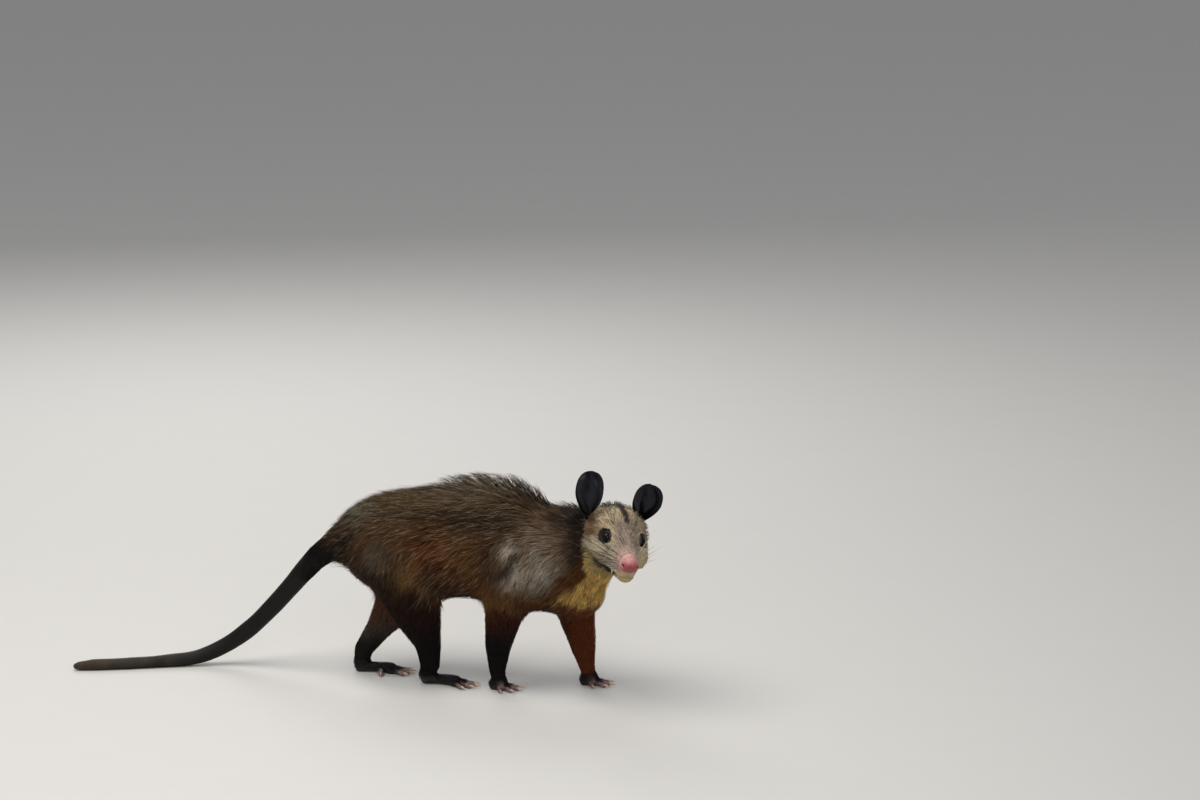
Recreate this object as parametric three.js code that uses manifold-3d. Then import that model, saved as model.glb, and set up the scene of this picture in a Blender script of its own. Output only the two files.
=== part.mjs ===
// A life-size opossum in mid walk, its head turned to its right, as a still model.
// Millimetres, +X the way the body faces, +Y the animal's left, +Z up, the floor at Z = 0.
import * as THREE from 'three';
import { mergeVertices } from 'three/addons/utils/BufferGeometryUtils.js';
import Module from 'manifold-3d';

const wasm = await Module();
wasm.setup();

// The thin cut between two nodes, and how far a foot or the tail presses past the floor to give it a flat
const GAP = 0.3;
const FLAT_PRESS = 0.6;

// Sizes of the facets of each part that is made as one smooth skin
const CELL = { torso: 13, neck: 9.8, upper: 11, head: 5.6, jaw: 4.6, foot: 7.4, nose: 2.8 };
const SIDES = { lock: 4, leg: 9, tail: 8, toe: 5, claw: 4, lip: 5, lid: 5 };
// Edges shorter than this, left where two cuts cross, are drawn together
const SHORTEST_EDGE = 0.06;

// Trunk and neck: each line of balls has its stations as [x, y, z, radius out to the tips, depth of the locks]
const TRUNK = [
  {
    name: 'barrel', blend: 20,
    line: [[82, 2, 150, 52, 4], [32, 0, 152, 61, 15], [-44, 0, 154, 60, 15], [-104, 0, 148, 54, 15], [-138, 0, 142, 36, 12]],
  },
  {
    name: 'ridge', blend: 26,
    line: [
      [96, -2, 160, 29, 2], [62, 0, 182, 31, 18], [28, 0, 199, 32, 22], [2, 0, 200, 31, 22],
      [-46, 0, 194, 30, 20], [-92, 0, 183, 28, 18], [-128, 0, 170, 23, 15], [-158, 0, 156, 17, 8],
    ],
  },
  { name: 'brisket', blend: 18, line: [[118, -4, 130, 27, 0], [74, 0, 118, 34, 8], [20, 0, 124, 34, 8]] },
  { name: 'neck', blend: 14, line: [[84, 0, 158, 42, 2], [118, -5, 164, 37, 0], [148, -18, 176, 31, 0]] },
  { name: 'throat', blend: 10, line: [[112, -2, 140, 30, 0], [138, -22, 146, 25, 0], [152, -44, 154, 19, 0]] },
  { name: 'tail_root', blend: 16, line: [[-132, 0, 152, 27, 8], [-166, 0, 144, 17, 3], [-186, 0, 128, 13, 0]] },
];

// Coat: flat, tapered locks in rings round the trunk, from the front ring to the last, over a core that
// fills half of the coat's depth. Those of the crest, over the shoulders, stand up from the back.
const RINGS = { front: 90, rear: -144, count: 7, middle: 152, lean: 0.45 };
const LOCK = { spacing: 30, length: 68, wide: 14.5, thick: 3, sink: 5, fall: 0.6, seed: 19 };
// Along a lock: the share of its length, and the shares of its full width and thickness there
const LOCK_SHAPE = [[0, 0.8, 0.9], [0.42, 1, 1], [1, 0.09, 0.2]];
const CREST = { from: -60, to: 78, half: 0.42, shorter: 0.68, higher: 5 };

// Legs: joints from the shoulder or hip down to the wrist or heel, each with its radius over the coat
const LEG = {
  fore_right: { front: true, side: -1, joints: [[52, -31, 148, 33, 7], [39, -33, 92, 23], [29, -25, 50, 15], [27, -22, 21, 9], [29, -21, 9, 7.5]] },
  fore_left: { front: true, side: 1, joints: [[90, 31, 144, 32, 4], [99, 31, 84, 22.5], [108, 28, 47, 15.5], [113, 28, 21, 9], [116, 28, 9, 7.5]] },
  hind_right: { front: false, side: -1, joints: [[-84, -32, 138, 41, 9], [-60, -31, 80, 27], [-51, -24, 46, 15], [-50, -21, 22, 11], [-54, -20, 11, 8.5]] },
  hind_left: { front: false, side: 1, joints: [[-94, 30, 138, 41, 9], [-100, 27, 82, 27], [-124, 21, 46, 14.5], [-139, 17, 24, 10.5], [-141, 16, 11, 8.5]] },
};
const LEG_BLEND = 22;

// The slanted cut that parts a leg from the trunk, and the heights of its elbow or knee and its wrist or heel
const GROIN_SLANT = 34;
const GROIN_HEIGHT = { front: 103, hind: 106 };
const ELBOW_HEIGHT = 66;
const WRIST_HEIGHT = { fore_right: 20, fore_left: 20, hind_right: 21, hind_left: 21 };

// Feet: the place of the ball of each foot and the way it points, in degrees left of +X
const FOOT = {
  fore_right: { at: [31, -21], turn: -8 },
  fore_left: { at: [119, 28], turn: 6 },
  hind_right: { at: [-22, -19], turn: -6 },
  hind_left: { at: [-107, 14], turn: 2 },
};
const PALM = { front: { length: 12, radius: 7.4, height: 5.4 }, hind: { length: 34, radius: 7.2, height: 5.6 } };
// Toes of a right foot: where each leaves the palm and the way it points, in degrees, its length and radius
const TOES = {
  front: [
    { angle: 62, root: [-2, 5], length: 12, radius: 2.3 },
    { angle: 26, root: [3, 4.2], length: 15, radius: 2.4 },
    { angle: 3, root: [4, 0.6], length: 16, radius: 2.5 },
    { angle: -22, root: [3, -3.4], length: 15, radius: 2.4 },
    { angle: -54, root: [-1, -5.2], length: 12, radius: 2.2 },
  ],
  hind: [
    { angle: 74, root: [-10, 4.6], length: 15, radius: 2.9 },
    { angle: 20, root: [2, 4.4], length: 18, radius: 2.5 },
    { angle: 4, root: [4, 1.4], length: 19, radius: 2.6 },
    { angle: -12, root: [3, -2], length: 19, radius: 2.5 },
    { angle: -32, root: [0, -5], length: 17, radius: 2.4 },
  ],
};
const CLAW = { length: 6.5, radius: 1.5 };

// Tail: its middle line and the radius along it, bare and scaly past the furred root
const TAIL_LINE = [
  [-160, 0, 146], [-190, 0, 124], [-215, 0, 95], [-239, 0, 68], [-264, -1, 43], [-290, -5, 23.5],
  [-316, -14, 11], [-341, -27, 6.8], [-366, -41, 6.2], [-392, -55, 6], [-418, -67, 5.8], [-442, -77, 4.6],
];
const TAIL_RADIUS = [[0, 19], [0.1, 12.8], [0.2, 10.6], [0.4, 9.6], [0.58, 8.4], [0.75, 6.8], [0.94, 6.2], [1, 4.8]];
const TAIL_LENGTHS = 5;
const TAIL_ROOT = 0.05;

// Head: the point midway between the eyes, how it is turned, and its forms in the head's own frame,
// [forward, left, up, radius], measured from that point
const HEAD_AT = [182.3, -65.4, 189];
const HEAD_TURN = { right: 62.7, down: 4.1, roll: 7 };
const EYE = { at: [-4, 17.2, -1], looks: [0.75, 0.6, 0.24], radius: 5.9, socket: 6.2, hollow: 9.5, hollow_ahead: 12 };
const NOSE_TIP = [54, 0, -16.5];
const HEAD = [
  { name: 'braincase_left', blend: 8, line: [[-46, 6, 0, 25.5], [-22, 7, 0, 21.5]] },
  { name: 'braincase_right', blend: 8, line: [[-46, -6, 0, 25.5], [-22, -7, 0, 21.5]] },
  { name: 'forehead', blend: 10, line: [[-20, 0, 5, 20], [3, 0, -4, 17]] },
  { name: 'muzzle', blend: 8, line: [[3, 0, -8, 16.5], [28, 0, -14, 12.5], [46, 0, -17, 9.5]] },
  { name: 'lip_left', blend: 6, line: [[8, 9, -20, 11.5], [28, 4.5, -21.5, 9.2], [43, 2, -22, 7]] },
  { name: 'lip_right', blend: 6, line: [[8, -9, -20, 11.5], [28, -4.5, -21.5, 9.2], [43, -2, -22, 7]] },
  { name: 'cheek_left', blend: 8, line: [[-30, 17, -14, 18], [0, 14, -19, 13.5]] },
  { name: 'cheek_right', blend: 8, line: [[-30, -17, -14, 18], [0, -14, -19, 13.5]] },
];
const JAW = [
  { name: 'jaw_left', blend: 6, line: [[-28, 14, -26, 11], [6, 9, -29, 9], [34, 2.6, -31, 5.8]] },
  { name: 'jaw_right', blend: 6, line: [[-28, -14, -26, 11], [6, -9, -29, 9], [34, -2.6, -31, 5.8]] },
  { name: 'chin', blend: 6, line: [[-30, 0, -26, 13], [10, 0, -30, 9.5], [38, 0, -31, 6]] },
];
// The line of the mouth from its corner to the tip, in the head's own frame, [forward, up]
const MOUTH_LINE = [[-2, -28.5], [10, -29.5], [22, -30], [34, -30], [44, -28.8], [60, -26]];
const LIP = { from: -1, to: 42, half: 21.5, narrowing: 15.5 };
const NECK_CUT = -58;

// Ears: the middle of the root in the head's frame, the way each stands and opens, and its size
const EAR = {
  ear_right: { root: [-35, -27.5, 14.5], seat: [0, -0.76, 0.65], axis: [-3, -10, 45.5], opens: [0.9, -0.42, 0.1], height: 47, width: 30 },
  ear_left: { root: [-35, 24, 15.5], seat: [0, 0.76, 0.65], axis: [17, 4, 42], opens: [0.95, 0.05, -0.2], height: 43, width: 32 },
};
const EAR_ROOT = { wide: 12.5, thick: 9, below: 12 };
const EAR_THICKNESS = 1.1;
const EAR_CUP = 7;

const COLOUR = {
  coat: 0x4a3a2c,
  ridge: 0x3a302a,
  neck: 0x3b2c20,
  leg: 0x1c1613,
  foot: 0x231d1b,
  face: 0xb3a48c,
  jaw: 0xa48c5e,
  nose: 0xc08078,
  ear: 0x151416,
  eye: 0x0b0a0c,
  tail_root: 0x2a2623,
  tail_tip: 0x8a7460,
};

function material(hex, roughness) {
  return new THREE.MeshStandardMaterial({ color: hex, roughness, metalness: 0 });
}

// Smooth forms, as distances to lines of balls

function distanceToLine(p, line) {
  let nearest = Infinity;
  for (let i = 0; i < line.length - 1; i++) {
    const a = line[i];
    const b = line[i + 1];
    const ab = [b[0] - a[0], b[1] - a[1], b[2] - a[2]];
    const ap = [p[0] - a[0], p[1] - a[1], p[2] - a[2]];
    const span = ab[0] ** 2 + ab[1] ** 2 + ab[2] ** 2;
    const along = (ab[0] * ap[0] + ab[1] * ap[1] + ab[2] * ap[2]) / span;
    const t = Math.min(1, Math.max(0, along));
    const away = Math.hypot(ap[0] - t * ab[0], ap[1] - t * ab[1], ap[2] - t * ab[2]);
    nearest = Math.min(nearest, away - a[3] - t * (b[3] - a[3]));
  }
  return nearest;
}

function smoothMin(a, b, blend) {
  const overlap = Math.max(blend - Math.abs(a - b), 0) / blend;
  return Math.min(a, b) - overlap * overlap * blend / 4;
}

function blended(forms) {
  return (p) => {
    let distance = distanceToLine(p, forms[0].line);
    for (const form of forms.slice(1)) {
      distance = smoothMin(distance, distanceToLine(p, form.line), form.blend);
    }
    return distance;
  };
}

function slope(field, p) {
  const step = 0.5;
  const grad = [0, 1, 2].map((axis) => {
    const ahead = p.slice();
    const behind = p.slice();
    ahead[axis] += step;
    behind[axis] -= step;
    return (field(ahead) - field(behind)) / (2 * step);
  });
  return new THREE.Vector3(...grad);
}

// A closed skin on the zero level of a field inside a box, with one vertex to each cell that it crosses
function skin(field, low, high, cell) {
  const inside = (p) => Math.max(field(p), ...[0, 1, 2].map((i) => Math.max(low[i] + cell - p[i], p[i] - high[i] + cell)));
  const count = low.map((v, i) => Math.ceil((high[i] - v) / cell) + 1);
  const place = (i, j, k) => [low[0] + i * cell, low[1] + j * cell, low[2] + k * cell];
  const slot = (i, j, k) => (k * count[1] + j) * count[0] + i;
  const value = new Float64Array(count[0] * count[1] * count[2]);
  for (let k = 0; k < count[2]; k++) {
    for (let j = 0; j < count[1]; j++) {
      for (let i = 0; i < count[0]; i++) {
        value[slot(i, j, k)] = inside(place(i, j, k));
      }
    }
  }
  const corners = [];
  for (let n = 0; n < 8; n++) {
    corners.push([n & 1, (n >> 1) & 1, (n >> 2) & 1]);
  }
  const positions = [];
  const vertexOf = new Map();
  for (let k = 0; k < count[2] - 1; k++) {
    for (let j = 0; j < count[1] - 1; j++) {
      for (let i = 0; i < count[0] - 1; i++) {
        const crossing = new THREE.Vector3();
        let crossings = 0;
        for (let n = 0; n < 8; n++) {
          for (const bit of [1, 2, 4]) {
            if (n & bit) {
              continue;
            }
            const from = corners[n];
            const to = corners[n | bit];
            const a = value[slot(i + from[0], j + from[1], k + from[2])];
            const b = value[slot(i + to[0], j + to[1], k + to[2])];
            if ((a < 0) === (b < 0)) {
              continue;
            }
            const pa = new THREE.Vector3(...place(i + from[0], j + from[1], k + from[2]));
            const pb = new THREE.Vector3(...place(i + to[0], j + to[1], k + to[2]));
            crossing.add(pa.lerp(pb, a / (a - b)));
            crossings += 1;
          }
        }
        if (crossings > 0) {
          crossing.divideScalar(crossings);
          settle(crossing, field, cell / 3, place(i, j, k), cell);
          vertexOf.set(slot(i, j, k), positions.length / 3);
          positions.push(crossing.x, crossing.y, crossing.z);
        }
      }
    }
  }
  const index = [];
  const ring = [[0, 0], [1, 0], [1, 1], [0, 1]];
  for (let k = 1; k < count[2] - 1; k++) {
    for (let j = 1; j < count[1] - 1; j++) {
      for (let i = 1; i < count[0] - 1; i++) {
        for (let axis = 0; axis < 3; axis++) {
          const next = [i, j, k];
          next[axis] += 1;
          const here = value[slot(i, j, k)] < 0;
          const there = value[slot(...next)] < 0;
          if (here === there) {
            continue;
          }
          const [u, v] = [(axis + 1) % 3, (axis + 2) % 3];
          const quad = ring.map(([du, dv]) => {
            const at = [i, j, k];
            at[u] -= du;
            at[v] -= dv;
            return vertexOf.get(slot(...at));
          });
          addQuad(index, positions, here ? quad : quad.reverse());
        }
      }
    }
  }
  const geometry = new THREE.BufferGeometry();
  geometry.setAttribute('position', new THREE.Float32BufferAttribute(positions, 3));
  geometry.setIndex(index);
  return geometry;
}

// Moves a point on to the field's zero level, no further than the reach given and inside its own cell
function settle(point, field, reach, corner, cell) {
  const start = point.clone();
  for (let step = 0; step < 3; step++) {
    const p = point.toArray();
    const grad = slope(field, p);
    const size = Math.max(grad.lengthSq(), 0.05);
    point.addScaledVector(grad, -field(p) / size);
  }
  if (point.distanceTo(start) > reach) {
    point.copy(start);
  }
  const margin = cell * 0.04;
  point.x = THREE.MathUtils.clamp(point.x, corner[0] + margin, corner[0] + cell - margin);
  point.y = THREE.MathUtils.clamp(point.y, corner[1] + margin, corner[1] + cell - margin);
  point.z = THREE.MathUtils.clamp(point.z, corner[2] + margin, corner[2] + cell - margin);
}

function addQuad(index, positions, quad) {
  const point = (n) => new THREE.Vector3(positions[3 * n], positions[3 * n + 1], positions[3 * n + 2]);
  const [a, b, c, d] = quad;
  if (point(a).distanceTo(point(c)) < point(b).distanceTo(point(d))) {
    index.push(a, b, c, a, c, d);
  } else {
    index.push(a, b, d, b, c, d);
  }
}

// Tubes, through stations of { at, wide, thick, flat }: flat is the way the thick side faces, and skew
// turns the corners, so that a tube of four sides at 0 has thin edges and a ridge along its middle
function tube(stations, sides, skew = 0.5) {
  const positions = [];
  const index = [];
  const count = stations.length;
  stations.forEach((station, n) => {
    const before = stations[Math.max(n - 1, 0)].at;
    const after = stations[Math.min(n + 1, count - 1)].at;
    const along = station.along ?? after.clone().sub(before).normalize();
    const across = new THREE.Vector3().crossVectors(station.flat, along).normalize();
    const up = new THREE.Vector3().crossVectors(along, across);
    for (let s = 0; s < sides; s++) {
      const angle = (s + skew) / sides * 2 * Math.PI;
      const point = station.at.clone();
      point.addScaledVector(across, station.wide * Math.cos(angle));
      point.addScaledVector(up, station.thick * Math.sin(angle));
      positions.push(...point.toArray());
    }
  });
  for (let n = 0; n < count - 1; n++) {
    for (let s = 0; s < sides; s++) {
      const a = n * sides + s;
      const b = n * sides + (s + 1) % sides;
      index.push(a, b, a + sides, b, b + sides, a + sides);
    }
  }
  const ends = [[0, true], [count - 1, false]];
  for (const [n, first] of ends) {
    const middle = positions.length / 3;
    positions.push(...stations[n].at.toArray());
    for (let s = 0; s < sides; s++) {
      const a = n * sides + s;
      const b = n * sides + (s + 1) % sides;
      if (first) {
        index.push(middle, b, a);
      } else {
        index.push(middle, a, b);
      }
    }
  }
  const geometry = new THREE.BufferGeometry();
  geometry.setAttribute('position', new THREE.Float32BufferAttribute(positions, 3));
  geometry.setIndex(index);
  return geometry;
}

// Solids: joining, cutting, and giving back a mesh

// The solid of a closed geometry, set in its place once its shared vertices are merged
function solid(geometry, place = new THREE.Matrix4()) {
  const bare = geometry.clone();
  bare.deleteAttribute('normal');
  bare.deleteAttribute('uv');
  const merged = mergeVertices(bare, 1e-4).applyMatrix4(place);
  return new wasm.Manifold(new wasm.Mesh({
    numProp: 3,
    vertProperties: new Float32Array(merged.attributes.position.array),
    triVerts: new Uint32Array(merged.index.array),
  }));
}

function joined(solids) {
  return solids.reduce((whole, piece) => whole.add(piece));
}

// The largest closed surface of a solid, which drops loose scraps
function largest(body) {
  const pieces = body.decompose();
  pieces.sort((a, b) => b.volume() - a.volume());
  return pieces[0];
}

// Draws the ends of each very short edge together and drops the triangles that this closes up
function withoutSlivers(vertices, triangles) {
  const stand = Array.from({ length: vertices.length / 3 }, (_, n) => n);
  const rootOf = (n) => {
    let root = n;
    while (stand[root] !== root) {
      root = stand[root];
    }
    return root;
  };
  const point = (n) => new THREE.Vector3(vertices[3 * n], vertices[3 * n + 1], vertices[3 * n + 2]);
  for (let t = 0; t < triangles.length; t += 3) {
    for (let n = 0; n < 3; n++) {
      const a = rootOf(triangles[t + n]);
      const b = rootOf(triangles[t + (n + 1) % 3]);
      if (a !== b && point(a).distanceTo(point(b)) < SHORTEST_EDGE) {
        stand[Math.max(a, b)] = Math.min(a, b);
      }
    }
  }
  const kept = [];
  for (let t = 0; t < triangles.length; t += 3) {
    const [a, b, c] = [0, 1, 2].map((n) => rootOf(triangles[t + n]));
    if (a !== b && b !== c && c !== a) {
      kept.push(a, b, c);
    }
  }
  return kept;
}

// The largest surface again once the short edges are drawn together, as that can close a narrow gap
function cleaned(body) {
  const mesh = largest(body).getMesh();
  const triVerts = new Uint32Array(withoutSlivers(mesh.vertProperties, mesh.triVerts));
  return largest(new wasm.Manifold(new wasm.Mesh({ numProp: 3, vertProperties: mesh.vertProperties, triVerts })));
}

function nodeMesh(name, body, finish) {
  const mesh = cleaned(body).getMesh();
  const geometry = new THREE.BufferGeometry();
  geometry.setAttribute('position', new THREE.BufferAttribute(new Float32Array(mesh.vertProperties), 3));
  geometry.setIndex(Array.from(mesh.triVerts));
  geometry.computeVertexNormals();
  const node = new THREE.Mesh(geometry, finish);
  node.name = name;
  return node;
}

// A box whose one face lies on the plane through a point, with the rest of it behind that face
function blockBehind(point, normal, size, depth) {
  const box = new THREE.BoxGeometry(size, size, depth);
  box.translate(0, 0, -depth / 2);
  return solid(box, standing(point, normal));
}

// The placing that carries a shape's own up to the direction given
function standing(point, up) {
  const turn = new THREE.Quaternion().setFromUnitVectors(new THREE.Vector3(0, 0, 1), up.clone().normalize());
  return new THREE.Matrix4().compose(point, turn, new THREE.Vector3(1, 1, 1));
}

function blockBetween(low, high) {
  const box = new THREE.BoxGeometry(high[0] - low[0], high[1] - low[1], high[2] - low[2]);
  const centre = low.map((v, i) => (v + high[i]) / 2);
  return solid(box, new THREE.Matrix4().makeTranslation(...centre));
}

function onFloor(body) {
  return body.subtract(blockBetween([-600, -300, -60], [400, 300, 0]));
}

// The point of a leg's middle line at a height, and its radius there
function legAt(name, height) {
  const joints = LEG[name].joints;
  for (let i = 0; i < joints.length - 1; i++) {
    const [a, b] = [joints[i], joints[i + 1]];
    if (height >= b[2] || i === joints.length - 2) {
      const t = Math.min(1, (a[2] - height) / (a[2] - b[2]));
      const mix = a.map((v, n) => v + t * (b[n] - v));
      return { at: new THREE.Vector3(mix[0], mix[1], mix[2]), radius: mix[3] };
    }
  }
}

function groinNormal(leg) {
  const slant = THREE.MathUtils.degToRad(GROIN_SLANT);
  return new THREE.Vector3(0, -leg.side * Math.sin(slant), Math.cos(slant));
}

// Everything on the leg's side of the groin cut, set back by a clearance
function legSpace(name, clearance) {
  const leg = LEG[name];
  const height = leg.front ? GROIN_HEIGHT.front : GROIN_HEIGHT.hind;
  const centre = legAt(name, height).at;
  const normal = groinNormal(leg);
  const below = blockBehind(centre.clone().addScaledVector(normal, clearance), normal, 260, 150);
  const reach = leg.front ? [centre.x - 44, centre.x + 44] : [centre.x - 64, centre.x + 62];
  const side = leg.side * (GAP / 2 - clearance);
  const low = [reach[0] - clearance, leg.side > 0 ? side : -120, -20];
  const high = [reach[1] + clearance, leg.side > 0 ? 120 : side, 200];
  return below.intersect(blockBetween(low, high));
}

function jointCut(name, height, clearance) {
  const span = 5;
  const above = legAt(name, height + span).at;
  const below = legAt(name, height - span).at;
  const normal = above.clone().sub(below).normalize();
  return { at: legAt(name, height).at.addScaledVector(normal, clearance), normal };
}

// Head frame

function headAxes() {
  const turn = THREE.MathUtils.degToRad(HEAD_TURN.right);
  const down = THREE.MathUtils.degToRad(HEAD_TURN.down);
  const roll = THREE.MathUtils.degToRad(HEAD_TURN.roll);
  const forward = new THREE.Vector3(Math.cos(turn) * Math.cos(down), -Math.sin(turn) * Math.cos(down), -Math.sin(down));
  const level = new THREE.Vector3(Math.sin(turn), Math.cos(turn), 0);
  const upright = new THREE.Vector3().crossVectors(forward, level);
  const left = level.clone().multiplyScalar(Math.cos(roll)).addScaledVector(upright, -Math.sin(roll));
  const up = upright.clone().multiplyScalar(Math.cos(roll)).addScaledVector(level, Math.sin(roll));
  return { forward, left, up };
}

const AXES = headAxes();

function headDirection(f, s, v) {
  return new THREE.Vector3().addScaledVector(AXES.forward, f).addScaledVector(AXES.left, s).addScaledVector(AXES.up, v);
}

function headPoint(f, s, v) {
  return headDirection(f, s, v).add(new THREE.Vector3(...HEAD_AT));
}

function inHead(forms) {
  return forms.map((form) => ({
    ...form,
    line: form.line.map(([f, s, v, radius]) => [...headPoint(f, s, v).toArray(), radius]),
  }));
}

const HEAD_FORMS = inHead(HEAD);
const JAW_FORMS = inHead(JAW);

function eyeCentre(side) {
  const [f, s, v] = EYE.at;
  return headPoint(f, side * s, v);
}

// The way an eye looks out of its socket
function gaze(side) {
  const [f, s, v] = EYE.looks;
  return headDirection(f, side * s, v).normalize();
}

// The face falls back in a shallow hollow round each eye
function withEyeHollows(field) {
  const hollows = [1, -1].map((side) => eyeCentre(side).addScaledVector(gaze(side), EYE.hollow_ahead));
  return (p) => {
    const point = new THREE.Vector3(...p);
    const out = Math.min(...hollows.map((centre) => point.distanceTo(centre))) - EYE.hollow;
    return -smoothMin(-field(p), out, 5);
  };
}

const NECK_FORMS = TRUNK.filter((form) => ['neck', 'throat'].includes(form.name));
const headField = withEyeHollows(blended([...HEAD_FORMS, ...JAW_FORMS, ...NECK_FORMS]));
const neckField = blended([...TRUNK, ...shoulders(), ...HEAD_FORMS, ...JAW_FORMS]);

function neckCut(clearance) {
  const normal = headDirection(1, 0, 0).add(new THREE.Vector3(0.8, -0.1, 0.5)).normalize();
  const at = headPoint(NECK_CUT, 0, -2).addScaledVector(normal, clearance);
  return { at, normal };
}

function chestCut(clearance) {
  const normal = new THREE.Vector3(0.92, -0.1, 0.38).normalize();
  const at = new THREE.Vector3(104, 0, 172).addScaledVector(normal, clearance);
  return { at, normal };
}

// Trunk and neck

function legForm(name) {
  return { name, blend: LEG_BLEND, line: LEG[name].joints };
}

// The shoulders and haunches, down to the elbows and knees
function shoulders() {
  return Object.keys(LEG).map((name) => ({ ...legForm(name), line: LEG[name].joints.slice(0, 2) }));
}

const outlineField = blended([...TRUNK, ...shoulders()]);
const coreField = blended([...TRUNK, ...shoulders()].map(withoutHalfCoat));

function withoutHalfCoat(form) {
  return { ...form, line: form.line.map(([x, y, z, radius, coat = 0]) => [x, y, z, radius - coat / 2]) };
}

// Where a ray from the trunk's middle line leaves the core: the rings lean with the chest at the front
function onCore(x, angle, lean) {
  const way = new THREE.Vector3(-lean * Math.cos(angle), Math.sin(angle), Math.cos(angle));
  const middle = new THREE.Vector3(x, 0, RINGS.middle);
  let [inside, outside] = [0, 120];
  for (let step = 0; step < 16; step++) {
    const reach = (inside + outside) / 2;
    if (coreField(middle.clone().addScaledVector(way, reach).toArray()) < 0) {
      inside = reach;
    } else {
      outside = reach;
    }
  }
  return middle.addScaledVector(way, inside);
}

function seeded(seed) {
  let state = seed;
  return (low, high) => {
    state = (state * 1664525 + 1013904223) % 4294967296;
    return low + (high - low) * state / 4294967296;
  };
}

// One lock: it lies back and down over the trunk and rises from inside the core to the outline of the coat
function lock(root, turn, length, wide, tip) {
  const steps = 24;
  const stations = [];
  const at = root.clone();
  const depth = -outlineField(root.toArray());
  for (let n = 0; n <= steps; n++) {
    const share = n / steps;
    const normal = slope(outlineField, at.toArray()).normalize();
    const level = THREE.MathUtils.lerp(-depth - LOCK.sink, tip, Math.sin(share * Math.PI / 2) ** 0.8);
    at.addScaledVector(normal, level - outlineField(at.toArray()));
    const shape = LOCK_SHAPE.find(([along]) => Math.round(along * steps) === n);
    if (shape) {
      stations.push({ at: at.clone(), wide: wide * shape[1], thick: LOCK.thick * shape[2], flat: normal });
    }
    const lie = new THREE.Vector3(-1, turn, -LOCK.fall);
    lie.addScaledVector(normal, -lie.dot(normal)).normalize();
    at.addScaledVector(lie, length / steps);
  }
  return solid(tube(stations, SIDES.lock, 0));
}

function nearLeg(point) {
  return Object.keys(LEG).some((name) => {
    const leg = LEG[name];
    const centre = legAt(name, leg.front ? GROIN_HEIGHT.front : GROIN_HEIGHT.hind).at;
    const above = point.clone().sub(centre).dot(groinNormal(leg));
    return above < 3 && Math.abs(point.x - centre.x) < 60 && leg.side * point.y > 0;
  });
}

function locks() {
  const random = seeded(LOCK.seed);
  const grown = [];
  for (let ring = 0; ring < RINGS.count; ring++) {
    const share = ring / (RINGS.count - 1);
    const x = THREE.MathUtils.lerp(RINGS.front, RINGS.rear, share);
    const lean = RINGS.lean * (1 - share);
    const girth = Math.PI * (onCore(x, 0, 0).z - RINGS.middle + onCore(x, Math.PI / 2, 0).y);
    const around = Math.round(girth / LOCK.spacing);
    for (let n = 0; n < around; n++) {
      const angle = (n + (ring % 2) / 2 + random(-0.12, 0.12)) / around * 2 * Math.PI;
      const root = onCore(x + random(-5, 5), angle, lean);
      if (nearLeg(root)) {
        continue;
      }
      const overTop = Math.abs(Math.atan2(Math.sin(angle), Math.cos(angle)));
      const crest = overTop < CREST.half && x > CREST.from && x < CREST.to;
      const length = LOCK.length * (crest ? CREST.shorter : 1) * random(0.88, 1.08);
      const tip = (crest ? CREST.higher : 0) + random(-1, 1.5);
      grown.push(lock(root, random(-0.14, 0.14), length, LOCK.wide * random(0.9, 1.1), tip));
    }
  }
  return grown;
}

function torsoNode() {
  const core = solid(skin(coreField, [-230, -100, 50], [190, 100, 260], CELL.torso));
  let body = joined([core, ...locks()]);
  for (const name of Object.keys(LEG)) {
    body = body.subtract(legSpace(name, GAP));
  }
  const chest = chestCut(-GAP / 2);
  body = body.intersect(blockBehind(chest.at, chest.normal, 400, 400));
  const tail = tailFrame(TAIL_ROOT);
  const root = tail.at.clone().addScaledVector(tail.along, -GAP / 2);
  body = body.intersect(blockBehind(root, tail.along, 400, 500));
  return nodeMesh('torso', body, material(COLOUR.coat, 0.85));
}

function neckNode() {
  let body = solid(skin(neckField, [60, -110, 80], [220, 70, 250], CELL.neck));
  const chest = chestCut(GAP / 2);
  body = body.subtract(blockBehind(chest.at, chest.normal, 400, 400));
  const nape = neckCut(-GAP / 2);
  body = body.intersect(blockBehind(nape.at, nape.normal, 400, 400));
  for (const name of Object.keys(EAR)) {
    body = body.subtract(earSeat(name, GAP / 2));
  }
  return nodeMesh('neck', body, material(COLOUR.neck, 0.85));
}

// Legs

function upperNode(name) {
  const field = blended([...TRUNK.slice(0, 3), legForm(name)]);
  const centre = legAt(name, 100).at;
  const low = [centre.x - 90, centre.y - 60, 30];
  const high = [centre.x + 90, centre.y + 60, 190];
  let body = solid(skin(field, low, high, CELL.upper)).intersect(legSpace(name, 0));
  const elbow = jointCut(name, ELBOW_HEIGHT, GAP / 2);
  body = body.subtract(blockBehind(elbow.at, elbow.normal, 200, 100));
  return nodeMesh(`${name}_upper`, body, material(COLOUR.leg, 0.8));
}

function lowerNode(name) {
  const flat = new THREE.Vector3(1, 0, 0);
  const overlap = 6;
  const rings = 5;
  const top = ELBOW_HEIGHT + overlap;
  const bottom = WRIST_HEIGHT[name] - overlap;
  const stations = [];
  for (let n = 0; n <= rings; n++) {
    const { at, radius } = legAt(name, top + (bottom - top) * n / rings);
    stations.push({ at, wide: radius, thick: radius, flat });
  }
  let body = solid(tube(stations, SIDES.leg));
  const elbow = jointCut(name, ELBOW_HEIGHT, -GAP / 2);
  const wrist = jointCut(name, WRIST_HEIGHT[name], GAP / 2);
  body = body.intersect(blockBehind(elbow.at, elbow.normal, 200, 100));
  body = body.subtract(blockBehind(wrist.at, wrist.normal, 200, 100));
  return nodeMesh(`${name}_lower`, body, material(COLOUR.leg, 0.75));
}

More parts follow.
